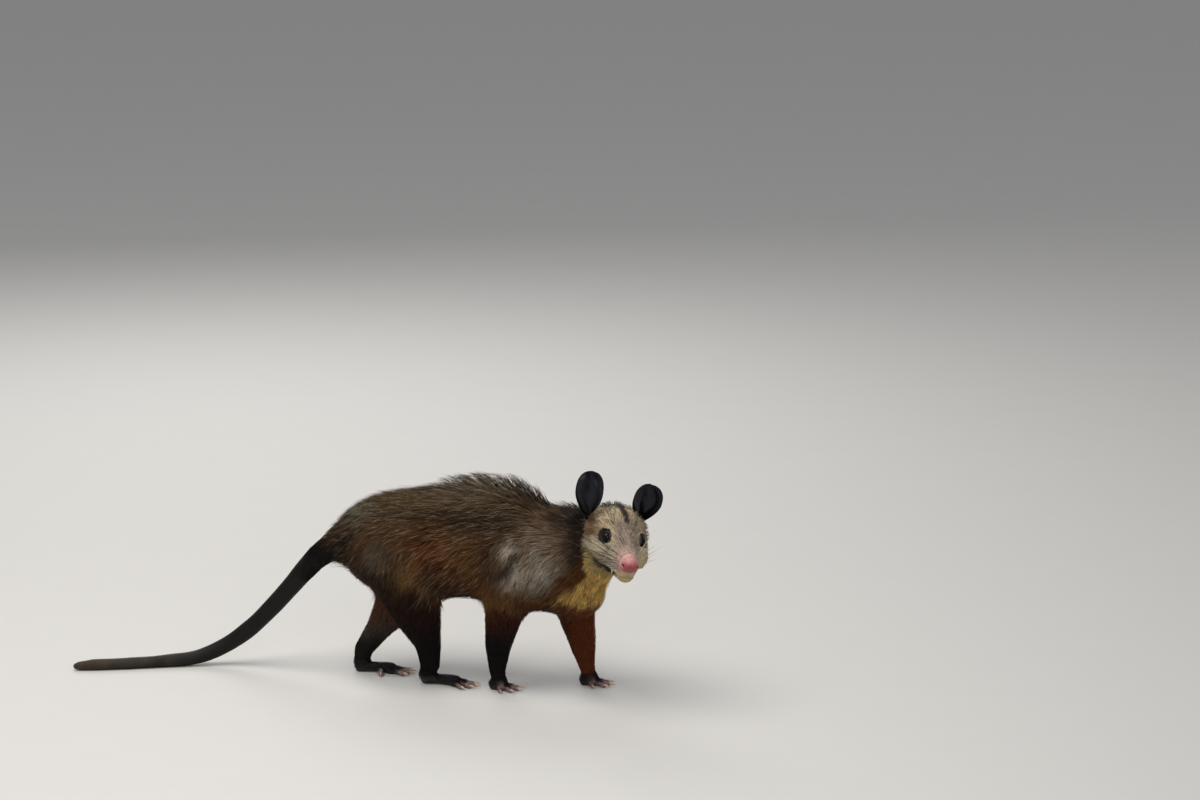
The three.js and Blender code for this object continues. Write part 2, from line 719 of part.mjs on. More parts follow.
// One toe with its claw, from its root on the palm down to the floor
function toe(root, angle, length, radius) {
  const flat = new THREE.Vector3(0, 0, 1);
  const way = new THREE.Vector3(Math.cos(angle), Math.sin(angle), 0);
  const rest = radius - FLAT_PRESS;
  const along = (share, height, size) => ({
    at: root.clone().addScaledVector(way, length * share).setZ(height),
    wide: size,
    thick: size,
    flat,
  });
  const finger = tube([
    along(-0.25, root.z, radius),
    along(0.35, rest + 1.6, radius * 0.95),
    along(0.75, rest + 0.2, radius * 1.05),
    along(1, rest + 0.2, radius * 0.6),
  ], SIDES.toe);
  const nail = tube([
    along(0.82, rest + 1, CLAW.radius),
    along(1 + 0.45 * CLAW.length / length, rest + 1.1, CLAW.radius * 0.7),
    along(1 + CLAW.length / length, 1.1, 0.35),
  ], SIDES.claw);
  return solid(finger).add(solid(nail));
}

function footNode(name) {
  const leg = LEG[name];
  const foot = FOOT[name];
  const kind = leg.front ? 'front' : 'hind';
  const palm = PALM[kind];
  const turn = THREE.MathUtils.degToRad(foot.turn);
  const local = (x, y, z) => new THREE.Vector3(
    foot.at[0] + x * Math.cos(turn) - y * Math.sin(turn),
    foot.at[1] + x * Math.sin(turn) + y * Math.cos(turn),
    z,
  );
  const heel = local(-palm.length, 0, palm.height);
  const ball = local(0, 0, palm.height);
  const joints = leg.joints.slice(-2);
  const forms = [
    { blend: 6, line: joints },
    { blend: 6, line: [joints[1], [...heel.toArray(), palm.radius]] },
    { blend: 6, line: [[...heel.toArray(), palm.radius - 0.8], [...ball.toArray(), palm.radius]] },
  ];
  const centre = local(-palm.length / 2, 0, 14);
  const reach = palm.length / 2 + 34;
  const low = [centre.x - reach, centre.y - 30, -14];
  const high = [centre.x + reach, centre.y + 30, 48];
  let body = solid(skin(blended(forms), low, high, CELL.foot));
  const inward = -leg.side;
  for (const one of TOES[kind]) {
    const root = local(one.root[0], inward * one.root[1], palm.height - 0.5);
    const angle = turn + inward * THREE.MathUtils.degToRad(one.angle);
    body = body.add(toe(root, angle, one.length, one.radius));
  }
  const wrist = jointCut(name, WRIST_HEIGHT[name], -GAP / 2);
  body = onFloor(body.intersect(blockBehind(wrist.at, wrist.normal, 200, 100)));
  return nodeMesh(`${name}_foot`, body, material(COLOUR.foot, 0.6));
}

// Tail

const TAIL_CURVE = new THREE.CatmullRomCurve3(TAIL_LINE.map((p) => new THREE.Vector3(...p)), false, 'centripetal');

function tailRadius(share) {
  for (let i = 0; i < TAIL_RADIUS.length - 1; i++) {
    const [a, b] = [TAIL_RADIUS[i], TAIL_RADIUS[i + 1]];
    if (share <= b[0]) {
      return a[1] + (share - a[0]) / (b[0] - a[0]) * (b[1] - a[1]);
    }
  }
  return TAIL_RADIUS.at(-1)[1];
}

function tailFrame(share) {
  const at = TAIL_CURVE.getPointAt(share);
  const radius = tailRadius(share);
  at.z = Math.max(at.z, radius - FLAT_PRESS);
  return { at, along: TAIL_CURVE.getTangentAt(share), radius };
}

function tailNode(number) {
  const length = TAIL_CURVE.getLength();
  const each = (1 - TAIL_ROOT) / TAIL_LENGTHS;
  const from = TAIL_ROOT + (number - 1) * each + GAP / 2 / length;
  const to = TAIL_ROOT + number * each - (number < TAIL_LENGTHS ? GAP / 2 / length : 0);
  const rings = 6;
  const stations = [];
  for (let n = 0; n <= rings; n++) {
    const { at, along, radius } = tailFrame(from + (to - from) * n / rings);
    stations.push({ at, along, wide: radius, thick: radius, flat: new THREE.Vector3(0, 0.3, 1) });
  }
  if (number === TAIL_LENGTHS) {
    for (const [ahead, share] of [[2.4, 0.75], [4, 0.35]]) {
      const end = tailFrame(1);
      const radius = end.radius * share;
      stations.push({
        at: end.at.clone().addScaledVector(end.along, ahead),
        along: end.along,
        wide: radius,
        thick: radius,
        flat: new THREE.Vector3(0, 0.3, 1),
      });
    }
  }
  const blend = (number - 1) / (TAIL_LENGTHS - 1);
  const colour = new THREE.Color(COLOUR.tail_root).lerp(new THREE.Color(COLOUR.tail_tip), blend ** 2);
  return nodeMesh(`tail_${number}`, onFloor(solid(tube(stations, SIDES.tail))), material(colour, 0.7));
}

// Head

// A rim of lid round one eye, taller than wide, thicker above than below
function lids(side) {
  const look = gaze(side);
  const across = new THREE.Vector3().crossVectors(headDirection(0, 0, 1), look).normalize();
  const up = new THREE.Vector3().crossVectors(look, across);
  const steps = 12;
  const positions = [];
  const index = [];
  const sides = SIDES.lid;
  for (let n = 0; n < steps; n++) {
    const angle = n / steps * 2 * Math.PI;
    const out = across.clone().multiplyScalar(Math.cos(angle)).addScaledVector(up, Math.sin(angle));
    const ring = eyeCentre(side).addScaledVector(look, 2.6).addScaledVector(out, 5.9);
    const thick = Math.sin(angle) > 0 ? 1.6 : 1.3;
    for (let s = 0; s < sides; s++) {
      const turn = s / sides * 2 * Math.PI;
      const point = ring.clone().addScaledVector(out, thick * Math.cos(turn)).addScaledVector(look, thick * Math.sin(turn));
      positions.push(...point.toArray());
      const a = n * sides + s;
      const b = n * sides + (s + 1) % sides;
      const c = ((n + 1) % steps) * sides + s;
      const d = ((n + 1) % steps) * sides + (s + 1) % sides;
      index.push(a, c, b, b, c, d);
    }
  }
  const geometry = new THREE.BufferGeometry();
  geometry.setAttribute('position', new THREE.Float32BufferAttribute(positions, 3));
  geometry.setIndex(index);
  return solid(geometry);
}

function eyeSocket(side) {
  const ball = new THREE.SphereGeometry(EYE.socket, 12, 8);
  return solid(ball, standing(eyeCentre(side), gaze(side)));
}

// Everything below the line of the mouth, as wide as the head
function mouthSpace(clearance) {
  const line = new THREE.CatmullRomCurve3(MOUTH_LINE.map(([f, v]) => new THREE.Vector3(f, v, 0)));
  const edge = line.getPoints(10);
  const shape = new THREE.Shape();
  shape.moveTo(edge[0].x - clearance, -60);
  shape.lineTo(edge[0].x - clearance, edge[0].y + clearance);
  for (const point of edge.slice(1)) {
    shape.lineTo(point.x, point.y + clearance);
  }
  shape.lineTo(edge.at(-1).x, -60);
  const width = 100;
  const block = new THREE.ExtrudeGeometry(shape, { depth: width, bevelEnabled: false });
  block.translate(0, 0, -width / 2);
  // The profile's own axes are forward and up, so its depth runs to the animal's right
  const place = new THREE.Matrix4().makeBasis(AXES.forward, AXES.up, AXES.left.clone().negate());
  return solid(block, place.setPosition(...HEAD_AT));
}

function heightOnLine(line, along) {
  const points = line.getPoints(60);
  return points.reduce((best, point) => (Math.abs(point.x - along) < Math.abs(best.x - along) ? point : best)).y;
}

// A rounded lip along one side of the mouth, a little above or below its line
function lip(side, rise, radius, inset) {
  const stations = [];
  const line = new THREE.CatmullRomCurve3(MOUTH_LINE.map(([f, v]) => new THREE.Vector3(f, v, 0)));
  const steps = 6;
  for (let n = 0; n <= steps; n++) {
    const share = n / steps;
    const along = LIP.from + (LIP.to - LIP.from) * share;
    const half = LIP.half - inset - LIP.narrowing * share;
    const height = heightOnLine(line, along);
    stations.push({
      at: headPoint(along, side * half, height + rise),
      wide: radius * (1 - 0.45 * share),
      thick: radius * (1 - 0.45 * share),
      flat: headDirection(0, 0, 1),
    });
  }
  return solid(tube(stations, SIDES.lip));
}

function headNode() {
  const centre = headPoint(0, 0, -8).toArray();
  const low = centre.map((v) => v - 92);
  const high = centre.map((v) => v + 92);
  let body = solid(skin(headField, low, high, CELL.head));
  body = joined([body, lids(1), lids(-1)]);
  body = body.subtract(mouthSpace(GAP / 2));
  body = joined([body, lip(1, 1.6, 2.2, 1.4), lip(-1, 1.6, 2.2, 1.4)]).subtract(mouthSpace(GAP / 2));
  for (const side of [1, -1]) {
    body = body.subtract(eyeSocket(side));
  }
  for (const name of Object.keys(EAR)) {
    body = body.subtract(earSeat(name, GAP / 2));
  }
  const nape = neckCut(GAP / 2);
  body = body.subtract(blockBehind(nape.at, nape.normal, 300, 200));
  const nose = noseCut(-GAP / 2);
  body = body.intersect(blockBehind(nose.at, nose.normal, 300, 300));
  return nodeMesh('head', body, material(COLOUR.face, 0.8));
}

function jawNode() {
  const field = blended(JAW_FORMS);
  const centre = headPoint(4, 0, -22).toArray();
  const low = centre.map((v) => v - 56);
  const high = centre.map((v) => v + 56);
  let body = solid(skin(field, low, high, CELL.jaw));
  body = joined([body, lip(1, -1.4, 1.9, 4), lip(-1, -1.4, 1.9, 4)]);
  body = body.intersect(mouthSpace(-GAP / 2));
  return nodeMesh('jaw', body, material(COLOUR.jaw, 0.8));
}

function noseCut(clearance) {
  const normal = headDirection(1, 0, -0.05).normalize();
  const at = headPoint(NOSE_TIP[0] - 7.5, 0, NOSE_TIP[2]).addScaledVector(normal, clearance);
  return { at, normal };
}

// The bare nose pad: two lobes and a middle, with a pit for each nostril and a groove below
function noseNode() {
  const [f, , v] = NOSE_TIP;
  const forms = inHead([
    { blend: 3, line: [[f - 10, 0, v, 9.2], [f - 5, 0, v + 0.5, 7.6]] },
    { blend: 3, line: [[f - 8, 4.2, v, 5.2], [f - 4.6, 4.2, v, 4.8]] },
    { blend: 3, line: [[f - 8, -4.2, v, 5.2], [f - 4.6, -4.2, v, 4.8]] },
  ]);
  const centre = headPoint(f - 4, 0, v).toArray();
  const low = centre.map((value) => value - 18);
  const high = centre.map((value) => value + 18);
  let body = solid(skin(blended(forms), low, high, CELL.nose));
  const flat = headDirection(0, 0, 1);
  const hole = (points, wide, thick) => solid(tube(points.map((p) => ({ at: headPoint(...p), wide, thick, flat })), 6));
  for (const side of [1, -1]) {
    const points = [[f - 4.5, side * 4, v + 0.6], [f + 0.5, side * 5.6, v + 0.8], [f + 2, side * 12, v + 2.4]];
    body = body.subtract(hole(points, 1.9, 1.5));
  }
  body = body.subtract(hole([[f + 1.2, 0, v + 2.5], [f + 3, 0, v - 3], [f - 1, 0, v - 9]], 0.6, 1.1));
  const back = noseCut(GAP / 2);
  body = body.subtract(blockBehind(back.at, back.normal, 80, 60));
  return nodeMesh('nose', body, material(COLOUR.nose, 0.45));
}

function eyeNode(name, side) {
  const ball = new THREE.SphereGeometry(EYE.radius, 12, 8);
  return nodeMesh(name, solid(ball, standing(eyeCentre(side), gaze(side))), material(COLOUR.eye, 0.05));
}

// Ears

function earFrame(name) {
  const ear = EAR[name];
  const up = headDirection(...ear.axis).normalize();
  const opens = headDirection(...ear.opens);
  opens.addScaledVector(up, -opens.dot(up)).normalize();
  const seat = headDirection(...ear.seat).normalize();
  const across = new THREE.Vector3().crossVectors(up, opens);
  return { ...ear, root: headPoint(...ear.root), up, opens, seat, across };
}

// The space above the flat on which an ear stands, a little wider than the ear's root
function earSeat(name, clearance) {
  const { root, seat, opens } = earFrame(name);
  const height = 16;
  const side = new THREE.Vector3().crossVectors(opens, seat).normalize();
  const place = new THREE.Matrix4().makeBasis(side, seat, new THREE.Vector3().crossVectors(side, seat));
  const post = new THREE.CylinderGeometry(1, 1, height, 16);
  post.scale(EAR_ROOT.wide, 1, EAR_ROOT.thick);
  post.translate(0, height / 2 - clearance, 0);
  return solid(post, place.setPosition(root));
}

// Half the ear's width at a share of its height: a narrow root, widest past the middle, a round top
function earHalfWidth(share, width) {
  const widest = 0.56;
  if (share > widest) {
    return width / 2 * Math.max(0, 1 - ((share - widest) / (1 - widest)) ** 2.6) ** 0.45;
  }
  return width / 2 * THREE.MathUtils.lerp(0.46, 1, Math.sin(share / widest * Math.PI / 2));
}

function earShell(name) {
  const { root, up, opens, across, height, width } = earFrame(name);
  const rows = 8;
  const columns = 6;
  const positions = [];
  const index = [];
  for (const face of [0, 1]) {
    for (let j = 0; j <= rows; j++) {
      const rise = (height + EAR_ROOT.below) * (1 - (1 - j / rows) ** 1.6) - EAR_ROOT.below;
      const share = Math.max(0, rise / height);
      const pinch = 1 + Math.min(0, rise) / (2 * EAR_ROOT.below);
      const half = Math.max(earHalfWidth(share, width) * pinch, 2.5);
      for (let i = 0; i <= columns; i++) {
        const side = 2 * i / columns - 1;
        const curl = EAR_CUP * (1 - 0.55 * share);
        const depth = curl * (side * side - 0.55) + 2.5 * Math.sin(Math.PI * share);
        const edge = 1 - 0.55 * Math.max(Math.abs(side), share) ** 4;
        const point = root.clone();
        point.addScaledVector(up, rise);
        point.addScaledVector(across, half * Math.sin(side * Math.PI / 2 * 0.96));
        point.addScaledVector(opens, depth + (face ? 1 : -1) * EAR_THICKNESS / 2 * edge);
        positions.push(...point.toArray());
      }
    }
  }
  const at = (face, j, i) => (face * (rows + 1) + j) * (columns + 1) + i;
  for (let j = 0; j < rows; j++) {
    for (let i = 0; i < columns; i++) {
      index.push(at(1, j, i), at(1, j, i + 1), at(1, j + 1, i), at(1, j, i + 1), at(1, j + 1, i + 1), at(1, j + 1, i));
      index.push(at(0, j, i), at(0, j + 1, i), at(0, j, i + 1), at(0, j, i + 1), at(0, j + 1, i), at(0, j + 1, i + 1));
    }
  }
  const rim = [];
  for (let i = 0; i < columns; i++) {
    rim.push([0, i]);
  }
  for (let j = 0; j < rows; j++) {
    rim.push([j, columns]);
  }
  for (let i = columns; i > 0; i--) {
    rim.push([rows, i]);
  }
  for (let j = rows; j > 0; j--) {
    rim.push([j, 0]);
  }
  rim.forEach(([j, i], n) => {
    const [nextJ, nextI] = rim[(n + 1) % rim.length];
    const [a, b, c, d] = [at(0, j, i), at(0, nextJ, nextI), at(1, j, i), at(1, nextJ, nextI)];
    index.push(a, b, c, b, d, c);
  });
  const geometry = new THREE.BufferGeometry();
  geometry.setAttribute('position', new THREE.Float32BufferAttribute(positions, 3));
  geometry.setIndex(index);
  return geometry;
}

function earNode(name) {
  const { root, up, opens, seat } = earFrame(name);
  const stub = (rise, wide, thick) => ({
    at: root.clone().addScaledVector(up, rise).addScaledVector(opens, -1.5),
    wide,
    thick,
    flat: opens,
  });
  const base = tube([stub(-EAR_ROOT.below, 7.4, 5.5), stub(4, 7, 4.6), stub(10, 5, 2.6), stub(14, 3, 1.2)], 8);
  let body = solid(earShell(name)).add(solid(base));
  const foot = root.clone().addScaledVector(seat, GAP / 2);
  body = body.subtract(blockBehind(foot, seat, 80, 40));
  return nodeMesh(name, body, material(COLOUR.ear, 0.4));
}

// The whole animal, with its origin on the floor under the middle of its outline

const animal = new THREE.Group();
animal.add(torsoNode());
animal.add(neckNode());
animal.add(headNode());
animal.add(jawNode());
animal.add(noseNode());
animal.add(eyeNode('eye_right', -1));
animal.add(eyeNode('eye_left', 1));
for (const name of Object.keys(EAR)) {
  animal.add(earNode(name));
}
for (const name of Object.keys(LEG)) {
  animal.add(upperNode(name));
  animal.add(lowerNode(name));
  animal.add(footNode(name));
}
for (let number = 1; number <= TAIL_LENGTHS; number++) {
  animal.add(tailNode(number));
}

const outline = new THREE.Box3().setFromObject(animal);
const middle = outline.getCenter(new THREE.Vector3());
animal.position.set(-middle.x, -middle.y, -outline.min.z);

const model = new THREE.Group();
model.add(animal);

export default model;
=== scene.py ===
import math

import bpy
import numpy as np
from mathutils import Matrix, Vector, kdtree


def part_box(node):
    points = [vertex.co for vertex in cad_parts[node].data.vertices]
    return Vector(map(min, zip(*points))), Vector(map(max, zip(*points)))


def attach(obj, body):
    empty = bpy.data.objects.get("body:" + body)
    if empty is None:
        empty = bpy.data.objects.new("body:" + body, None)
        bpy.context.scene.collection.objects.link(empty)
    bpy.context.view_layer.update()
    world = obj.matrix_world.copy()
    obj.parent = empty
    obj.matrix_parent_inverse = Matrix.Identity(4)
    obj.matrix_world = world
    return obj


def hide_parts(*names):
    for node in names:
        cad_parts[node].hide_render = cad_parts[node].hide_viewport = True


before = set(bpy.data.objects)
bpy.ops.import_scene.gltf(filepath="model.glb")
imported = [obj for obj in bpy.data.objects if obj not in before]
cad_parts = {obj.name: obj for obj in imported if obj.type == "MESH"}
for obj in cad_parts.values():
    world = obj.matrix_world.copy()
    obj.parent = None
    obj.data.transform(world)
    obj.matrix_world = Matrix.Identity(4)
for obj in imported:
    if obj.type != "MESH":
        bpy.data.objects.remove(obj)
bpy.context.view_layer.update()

MM = 0.001

# Body sizes in millimetres: +X the way the body faces, +Y the animal's left, +Z up from the floor.
# Each form is a line of balls: how softly it runs into the others, then its stations as (x, y, z, radius out to
# the tips of the coat, depth of the coat).
TRUNK = {
    "barrel": (20, [(82, 2, 147, 50, 13), (32, 0, 152, 61, 15), (-44, 0, 154, 60, 15), (-104, 0, 148, 54, 14),
                    (-123, 0, 146, 33, 10)]),
    "ridge": (26, [(96, -2, 160, 29, 12), (62, 0, 182, 31, 18), (28, 0, 197, 32, 21), (0, 0, 195.5, 30, 19),
                   (-46, 0, 190, 26, 15), (-92, 0, 181, 26, 15), (-128, 0, 168, 21, 12),
                   (-158, 0, 154, 14.5, 6)]),
    "brisket": (18, [(123, -6, 127, 26, 8), (113, 0, 109, 30, 8), (74, 0, 118, 34, 9), (20, 0, 124, 34, 9)]),
    "neck": (14, [(84, 0, 158, 42, 12), (118, -5, 168, 38.5, 12), (148, -18, 177, 31, 6)]),
    "throat": (10, [(112, -2, 140, 30, 9), (138, -22, 146, 25, 8), (152, -44, 154, 19, 5)]),
    "tail_root": (9, [(-132, 0, 152, 25, 8), (-166, 0, 143, 16, 3.5), (-186, 0, 128, 13, 1.5),
                      (-205, 0, 107, 11.2, 1)]),
}
LEG = {
    "fore_right": [(52, -31, 148, 33, 9), (39, -33, 92, 23, 5.5), (29, -25, 50, 15, 3), (27, -22, 21, 9, 1.4),
                   (29, -21, 9, 7.5, 1)],
    "fore_left": [(90, 31, 144, 32, 9), (99, 31, 84, 22.5, 5.5), (108, 28, 47, 15.5, 3),
                  (113, 28, 21, 9, 1.4), (116, 28, 9, 7.5, 1)],
    "hind_right": [(-84, -32, 138, 41, 12), (-60, -31, 80, 27, 6), (-51, -24, 46, 15, 3),
                   (-50, -21, 22, 11, 1.6), (-54, -20, 11, 8.5, 1)],
    "hind_left": [(-94, 30, 138, 41, 12), (-100, 27, 82, 27, 6), (-124, 21, 46, 14.5, 3),
                  (-139, 17, 24, 10.5, 1.6), (-141, 16, 11, 8.5, 1)],
}
# How softly a leg runs into the body
LEG_BLEND = 22

# Head: forms in its own frame, (forward, left, up, radius, coat), from the point midway between the eyes
HEAD_AT = np.array([182.3, -65.4, 189.0])
HEAD_TURN = {"right": 62.7, "down": 4.1, "roll": 7.0}
HEAD = {
    "braincase_left": (8, [(-46, 6, -3, 24.3, 3), (-22, 7, 0, 21.2, 1.8)]),
    "braincase_right": (8, [(-46, -6, -1, 24.3, 3), (-22, -7, 0, 21.2, 1.8)]),
    "forehead": (10, [(-20, 0, 5, 20, 2), (3, 0.5, -4, 16, 1.2)]),
    "brow_left": (6, [(-14, 16, -4, 10, 1.6), (-2, 14.5, -5, 8.5, 1.4)]),
    "muzzle": (8, [(3, 0, -8, 15.4, 1), (28, 0, -14, 12.5, 0.8), (46, 0, -17, 9.5, 0.5)]),
    "lip_left": (6, [(9, 10.2, -20, 12.6, 2.2), (28, 4.5, -21.5, 9.2, 0.8), (43, 2, -22, 7, 0.5)]),
    "lip_right": (6, [(8, -9, -20, 11.5, 1.2), (28, -4.5, -21.5, 9.2, 0.8), (43, -2, -22, 7, 0.5)]),
    "cheek_left": (8, [(-30, 17, -14, 18, 3.4), (0, 15.4, -19.5, 15.3, 2.8)]),
    "cheek_right": (8, [(-30, -17, -14, 18, 3.4), (0, -14, -19, 13.5, 1.5)]),
    "jaw_left": (6, [(-28, 14, -26, 11, 4), (6, 9, -29, 9, 1.5), (34, 2.6, -31, 5.8, 0.8)]),
    "jaw_right": (6, [(-28, -14, -26, 11, 4), (6, -9, -29, 9, 1.5), (34, -2.6, -31, 5.8, 0.8)]),
    "chin": (6, [(-30, 0, -26, 13, 4), (10, 0, -30, 9.5, 1.5), (38, 0, -31, 6, 0.8)]),
    "ear_base_right": (9, [(-40, -23, 2, 11, 2), (-41, -25, 8, 8, 1.6)]),
    "ear_base_left": (9, [(-40, 19, 3, 11, 2), (-41, 20, 9, 8, 1.6)]),
}
# Eyes: the middle of each as (forward, out, up), how far the pair is shifted to the left and the left one
# raised, where each looks, its radius, the hollow round it, and the skin round it that is bare and is dark
EYE = {"at": (-2.5, 18, -2.3), "shift": 1.3, "raise": -1.2, "looks": (0.75, 0.6, 0.24), "radius": 5.9,
       "hollow": 9.5, "hollow_ahead": 12, "bare": 8.7, "dark": (9.8, 8.6)}
# The right eye of the solids, by which this frame is laid over theirs
EYE_IN_SOLIDS = (-4, -17.2, -1)
NOSE_TIP = (54, 0, -16.5)
# The line of each nostril from the tip of the nose: forward, out, up and radius
NOSTRIL = [(-2, 5, 0.6, 1.1), (-1.6, 7, 1.2, 1.2), (-4.5, 9.2, 2.4, 0.6), (-7.5, 10.4, 4.4, 0.4)]
# The furred skin ends here, under the nose pad
NOSE_CUT = 46.5
# The face's forms are within this of the middle of the head, and tufts stop this far above the floor
FACE_REACH = 80
ANKLE = 12
# How far from the gap of the mouth the tufts start
LIP_BARE = 1.9
# The gap of the mouth along one side: forward, out, up and half its height, widest behind the canine
MOUTH_GAP = [(-17, 19.8, -31, 1.4), (-8, 19.2, -31.6, 3.1), (2, 18.2, -32, 3.5), (12, 15.6, -31.6, 2.7),
             (21, 12.4, -31.4, 1.4), (33, 8.6, -30.6, 0.6), (43, 4.5, -29.6, 0.35), (46, 0, -29.2, 0.3)]
EAR = {
    "ear_right": {"root": (-37, -33.8, 11.5), "axis": (-1, -0.6, 52.3), "opens": (0.9, -0.42, 0.1),
                  "height": 48.9, "width": 30.6},
    "ear_left": {"root": (-35, 24.3, 12.4), "axis": (16.1, 1.7, 43.9), "opens": (0.95, 0.05, -0.2),
                 "height": 46.6, "width": 32.5},
}
# How deep an ear is cupped, and how far it runs on below its root
EAR_CUP = 6.5
EAR_BELOW = 5
# The opening of each ear, kept clear of tufts: two balls as (ahead, up, radius) from the root
EAR_OPENING = [(3, 0, 4), (5, 13, 9.5)]
# The canine that shows below the lip: root and tip as (forward, left, up), and its thickness
TOOTH = {"root": (22.5, -12.2, -28.6), "tip": (24, -12.6, -33.6), "thick": 1.25}

# Feet: the place of the ball of each and the way it points, then the palm and the toes of a right foot
FOOT = {
    "fore_right": ((31, -21), -8),
    "fore_left": ((119, 28), 6),
    "hind_right": ((-22, -19), -6),
    "hind_left": ((-107, 14), 2),
}
PALM = {
    "fore": {"length": 7.5, "radius": 7, "height": 5.2},
    "hind": {"length": 34, "radius": 6.8, "height": 5.2},
}
# Each toe: its angle, where it leaves the palm, its length and its radius
TOES = {
    "fore": [(62, (-2, 5), 12, 2.3), (26, (3, 4.2), 15, 2.4), (3, (4, 0.6), 16, 2.5),
             (-22, (3, -3.4), 15, 2.4), (-54, (-1, -5.2), 12, 2.2)],
    "hind": [(74, (-10, 4.6), 15, 2.9), (20, (2, 4.4), 18, 2.5), (4, (4, 1.4), 19, 2.6),
             (-12, (3, -2), 19, 2.5), (-32, (0, -5), 17, 2.4)],
}
# Pads under the sole and at the roots of the toes: forward and left of the ball, and their size
PADS = [(-0.6, -4.4, 3.0), (-0.6, 4.2, 2.6), (2.5, -3.6, 2.8), (3.2, 0.4, 3.0), (2.2, 4.2, 2.8)]
CLAW = {"length": 6.5, "radius": 1.5}
# Along a claw from the toe: shares of the toe's length and of the claw's, height, and thickness
CLAW_LINE = [(0.8, 0, 1.0, 0.75), (0.95, 0, 1.9, 0.95), (1, 0.35, 1.9, 0.72), (1, 0.75, 0.9, 0.4),
             (1, 1, 0.2, 0.12)]
# How far the toes are pressed into the floor
FLAT_PRESS = 0.6

# Tail: its middle line, and the radius at shares of its length
TAIL_LINE = [(-160, 0, 146), (-190, 0, 124), (-215, 0, 95), (-239, 0, 68), (-264, -1, 43), (-290, -5, 23.5),
             (-316, -14, 11), (-341, -27, 6.8), (-366, -41, 6.2), (-392, -55, 6), (-418, -67, 5.8),
             (-442, -77, 4.6)]
TAIL_RADIUS = [(0, 12.5), (0.1, 12.4), (0.2, 10.6), (0.4, 9.6), (0.58, 8.4), (0.75, 6.8), (0.94, 6.2),
               (1, 4.8)]

# Colours of the coat and the bare skin
COLOUR = {
    "flank": "#6f4c2b",
    "flank_upper_lit": "#6d573c",
    "rust": "#7a4219",
    "ochre": "#86683d",
    "dorsal": "#3a302a",
    "nape": "#191414",
    "shoulder_lit": "#a59a89",
    "shoulder_highlight": "#cbbfaa",
    "rump": "#77705f",
    "deep_brown_and_crease_shade": "#201a16",
    "umber": "#40291a",
    "grey_umber": "#4f453a",
    "amber": "#7b4e28",
    "buff": "#a6957c",
    "underside_shade": "#4a3322",
    "neck_side": "#746250",
    "neck_band": "#28160d",
    "chest": "#d8b264",
    "chest_rust": "#633910",
    "leg": "#110d0c",
    "leg_rust": "#5a2a10",
    "pale_tip": "#a39076",
    "dark_tip": "#120e0c",
    "forehead": "#dfcba9",
    "cheek": "#d3c4a8",
    "cheek_low_shade": "#a38d64",
    "jaw_fur": "#a8915f",
    "brow_brown": "#8a5c36",
    "stripe": "#2a1b15",
    "eye_ring": "#0c0909",
    "between_eyes": "#a89489",
    "muzzle": "#d2b4a7",
    "lip_fur": "#6d5c4a",
    "chin": "#cfba80",
    "nose": "#8f4042",
    "nose_top": "#bf8580",
    "nostril_shade": "#431c1a",
    "lip": "#1c1210",
    "ear": "#09080a",
    "ear_painted_glint": "#1a1d26",
    "foot": "#1c1716",
    "toe": "#7a605a",
    "claw": "#b9a68c",
    "tail_dark": "#13110e",
    "tail_tip": "#44392b",
    "whisker": "#14100e",
    "pale_whisker": "#b9a985",
    "eye": "#0a0606",
    "tooth": "#cbb98a",
    "floor": "#cfccc6",
}

# Steps of the grids that the skins are drawn on: coarse over the body, fine round the head, feet and nose
GRID = {"body": 3.2, "head": 1.5, "foot": 1.15, "nose": 0.6}

# Markings: the way the neck runs from the body to the head, and where it starts
NECK_WAY = np.array([0.97, -0.25, 0.0])
NECK_START = TRUNK["neck"][1][0][:3]
# The upper edge of the ochre of the chest: places ahead, and its height there
THROAT_EDGE = [(84, 110, 130, 146), (103, 120, 137, 152)]
# Heights between which the coat of the body gives way to that of the legs
LEG_TOP = {"fore": (86, 116), "hind": (100, 140)}
# Patches on each flank, of the coat and of painted light: colour, strength, then place and spread as (ahead,
# up)
FLANK_PATCHES = [
    ("umber", 0.7, (44, 181), (22, 13)),
    ("umber", 0.45, (-30, 178), (18, 8)),
    ("deep_brown_and_crease_shade", 0.6, (10, 187), (60, 9)),
    ("rust", 0.4, (8, 126), (20, 14)),
    ("grey_umber", 0.6, (-84, 152), (24, 24)),
    ("rust", 0.85, (-31, 158), (20, 13)),
    ("amber", 0.55, (6, 136), (15, 18)),
    ("leg", 0.95, (-105, 120), (34, 28)),
    ("leg", 0.8, (-58, 112), (16, 11)),
    ("ochre", 0.8, (-52, 137), (18, 13)),
    ("umber", 0.95, (-29, 139), (9, 18)),
    ("rump", 0.35, (-92, 152), (12, 9)),
    ("rump", 0.9, (-126, 186), (26, 10)),
    ("leg", 0.75, (-124, 160), (15, 16)),
    ("buff", 0.9, (14, 215), (60, 9)),
    ("umber", 0.7, (34, 148), (8, 28)),
    ("chest_rust", 0.45, (-27, 152), (9, 18)),
    # Painted light: a lit patch over the shoulder, with painted highlights on it
    ("shoulder_lit", 0.8, (84, 150), (26, 25)),
    ("shoulder_highlight", 0.75, (54, 167), (8, 6)),
    ("shoulder_highlight", 0.75, (84, 142), (22, 14)),
    ("shoulder_highlight", 0.5, (54, 136), (11, 8)),
    ("chest_rust", 0.75, (98, 119), (24, 10)),
    ("leg_rust", 0.7, (90, 108), (30, 8)),
    ("nape", 0.35, (90, 204), (12, 10)),
    ("leg", 0.9, (-142, 138), (16, 24)),
]
# Painted shade in the crease that runs up and forward over the shoulder: its middle as (ahead, up),
# half its length, and its width
SHOULDER_CREASE_SHADE = {"at": (52, 151), "half": 16, "width": 6}
# How far the dark round each eye spreads from it: forward, out and up, on the left and on the right
EYE_SHADE = {1: (2.2, -3.2, 0.4), -1: (-2.2, 1.4, 0.6)}

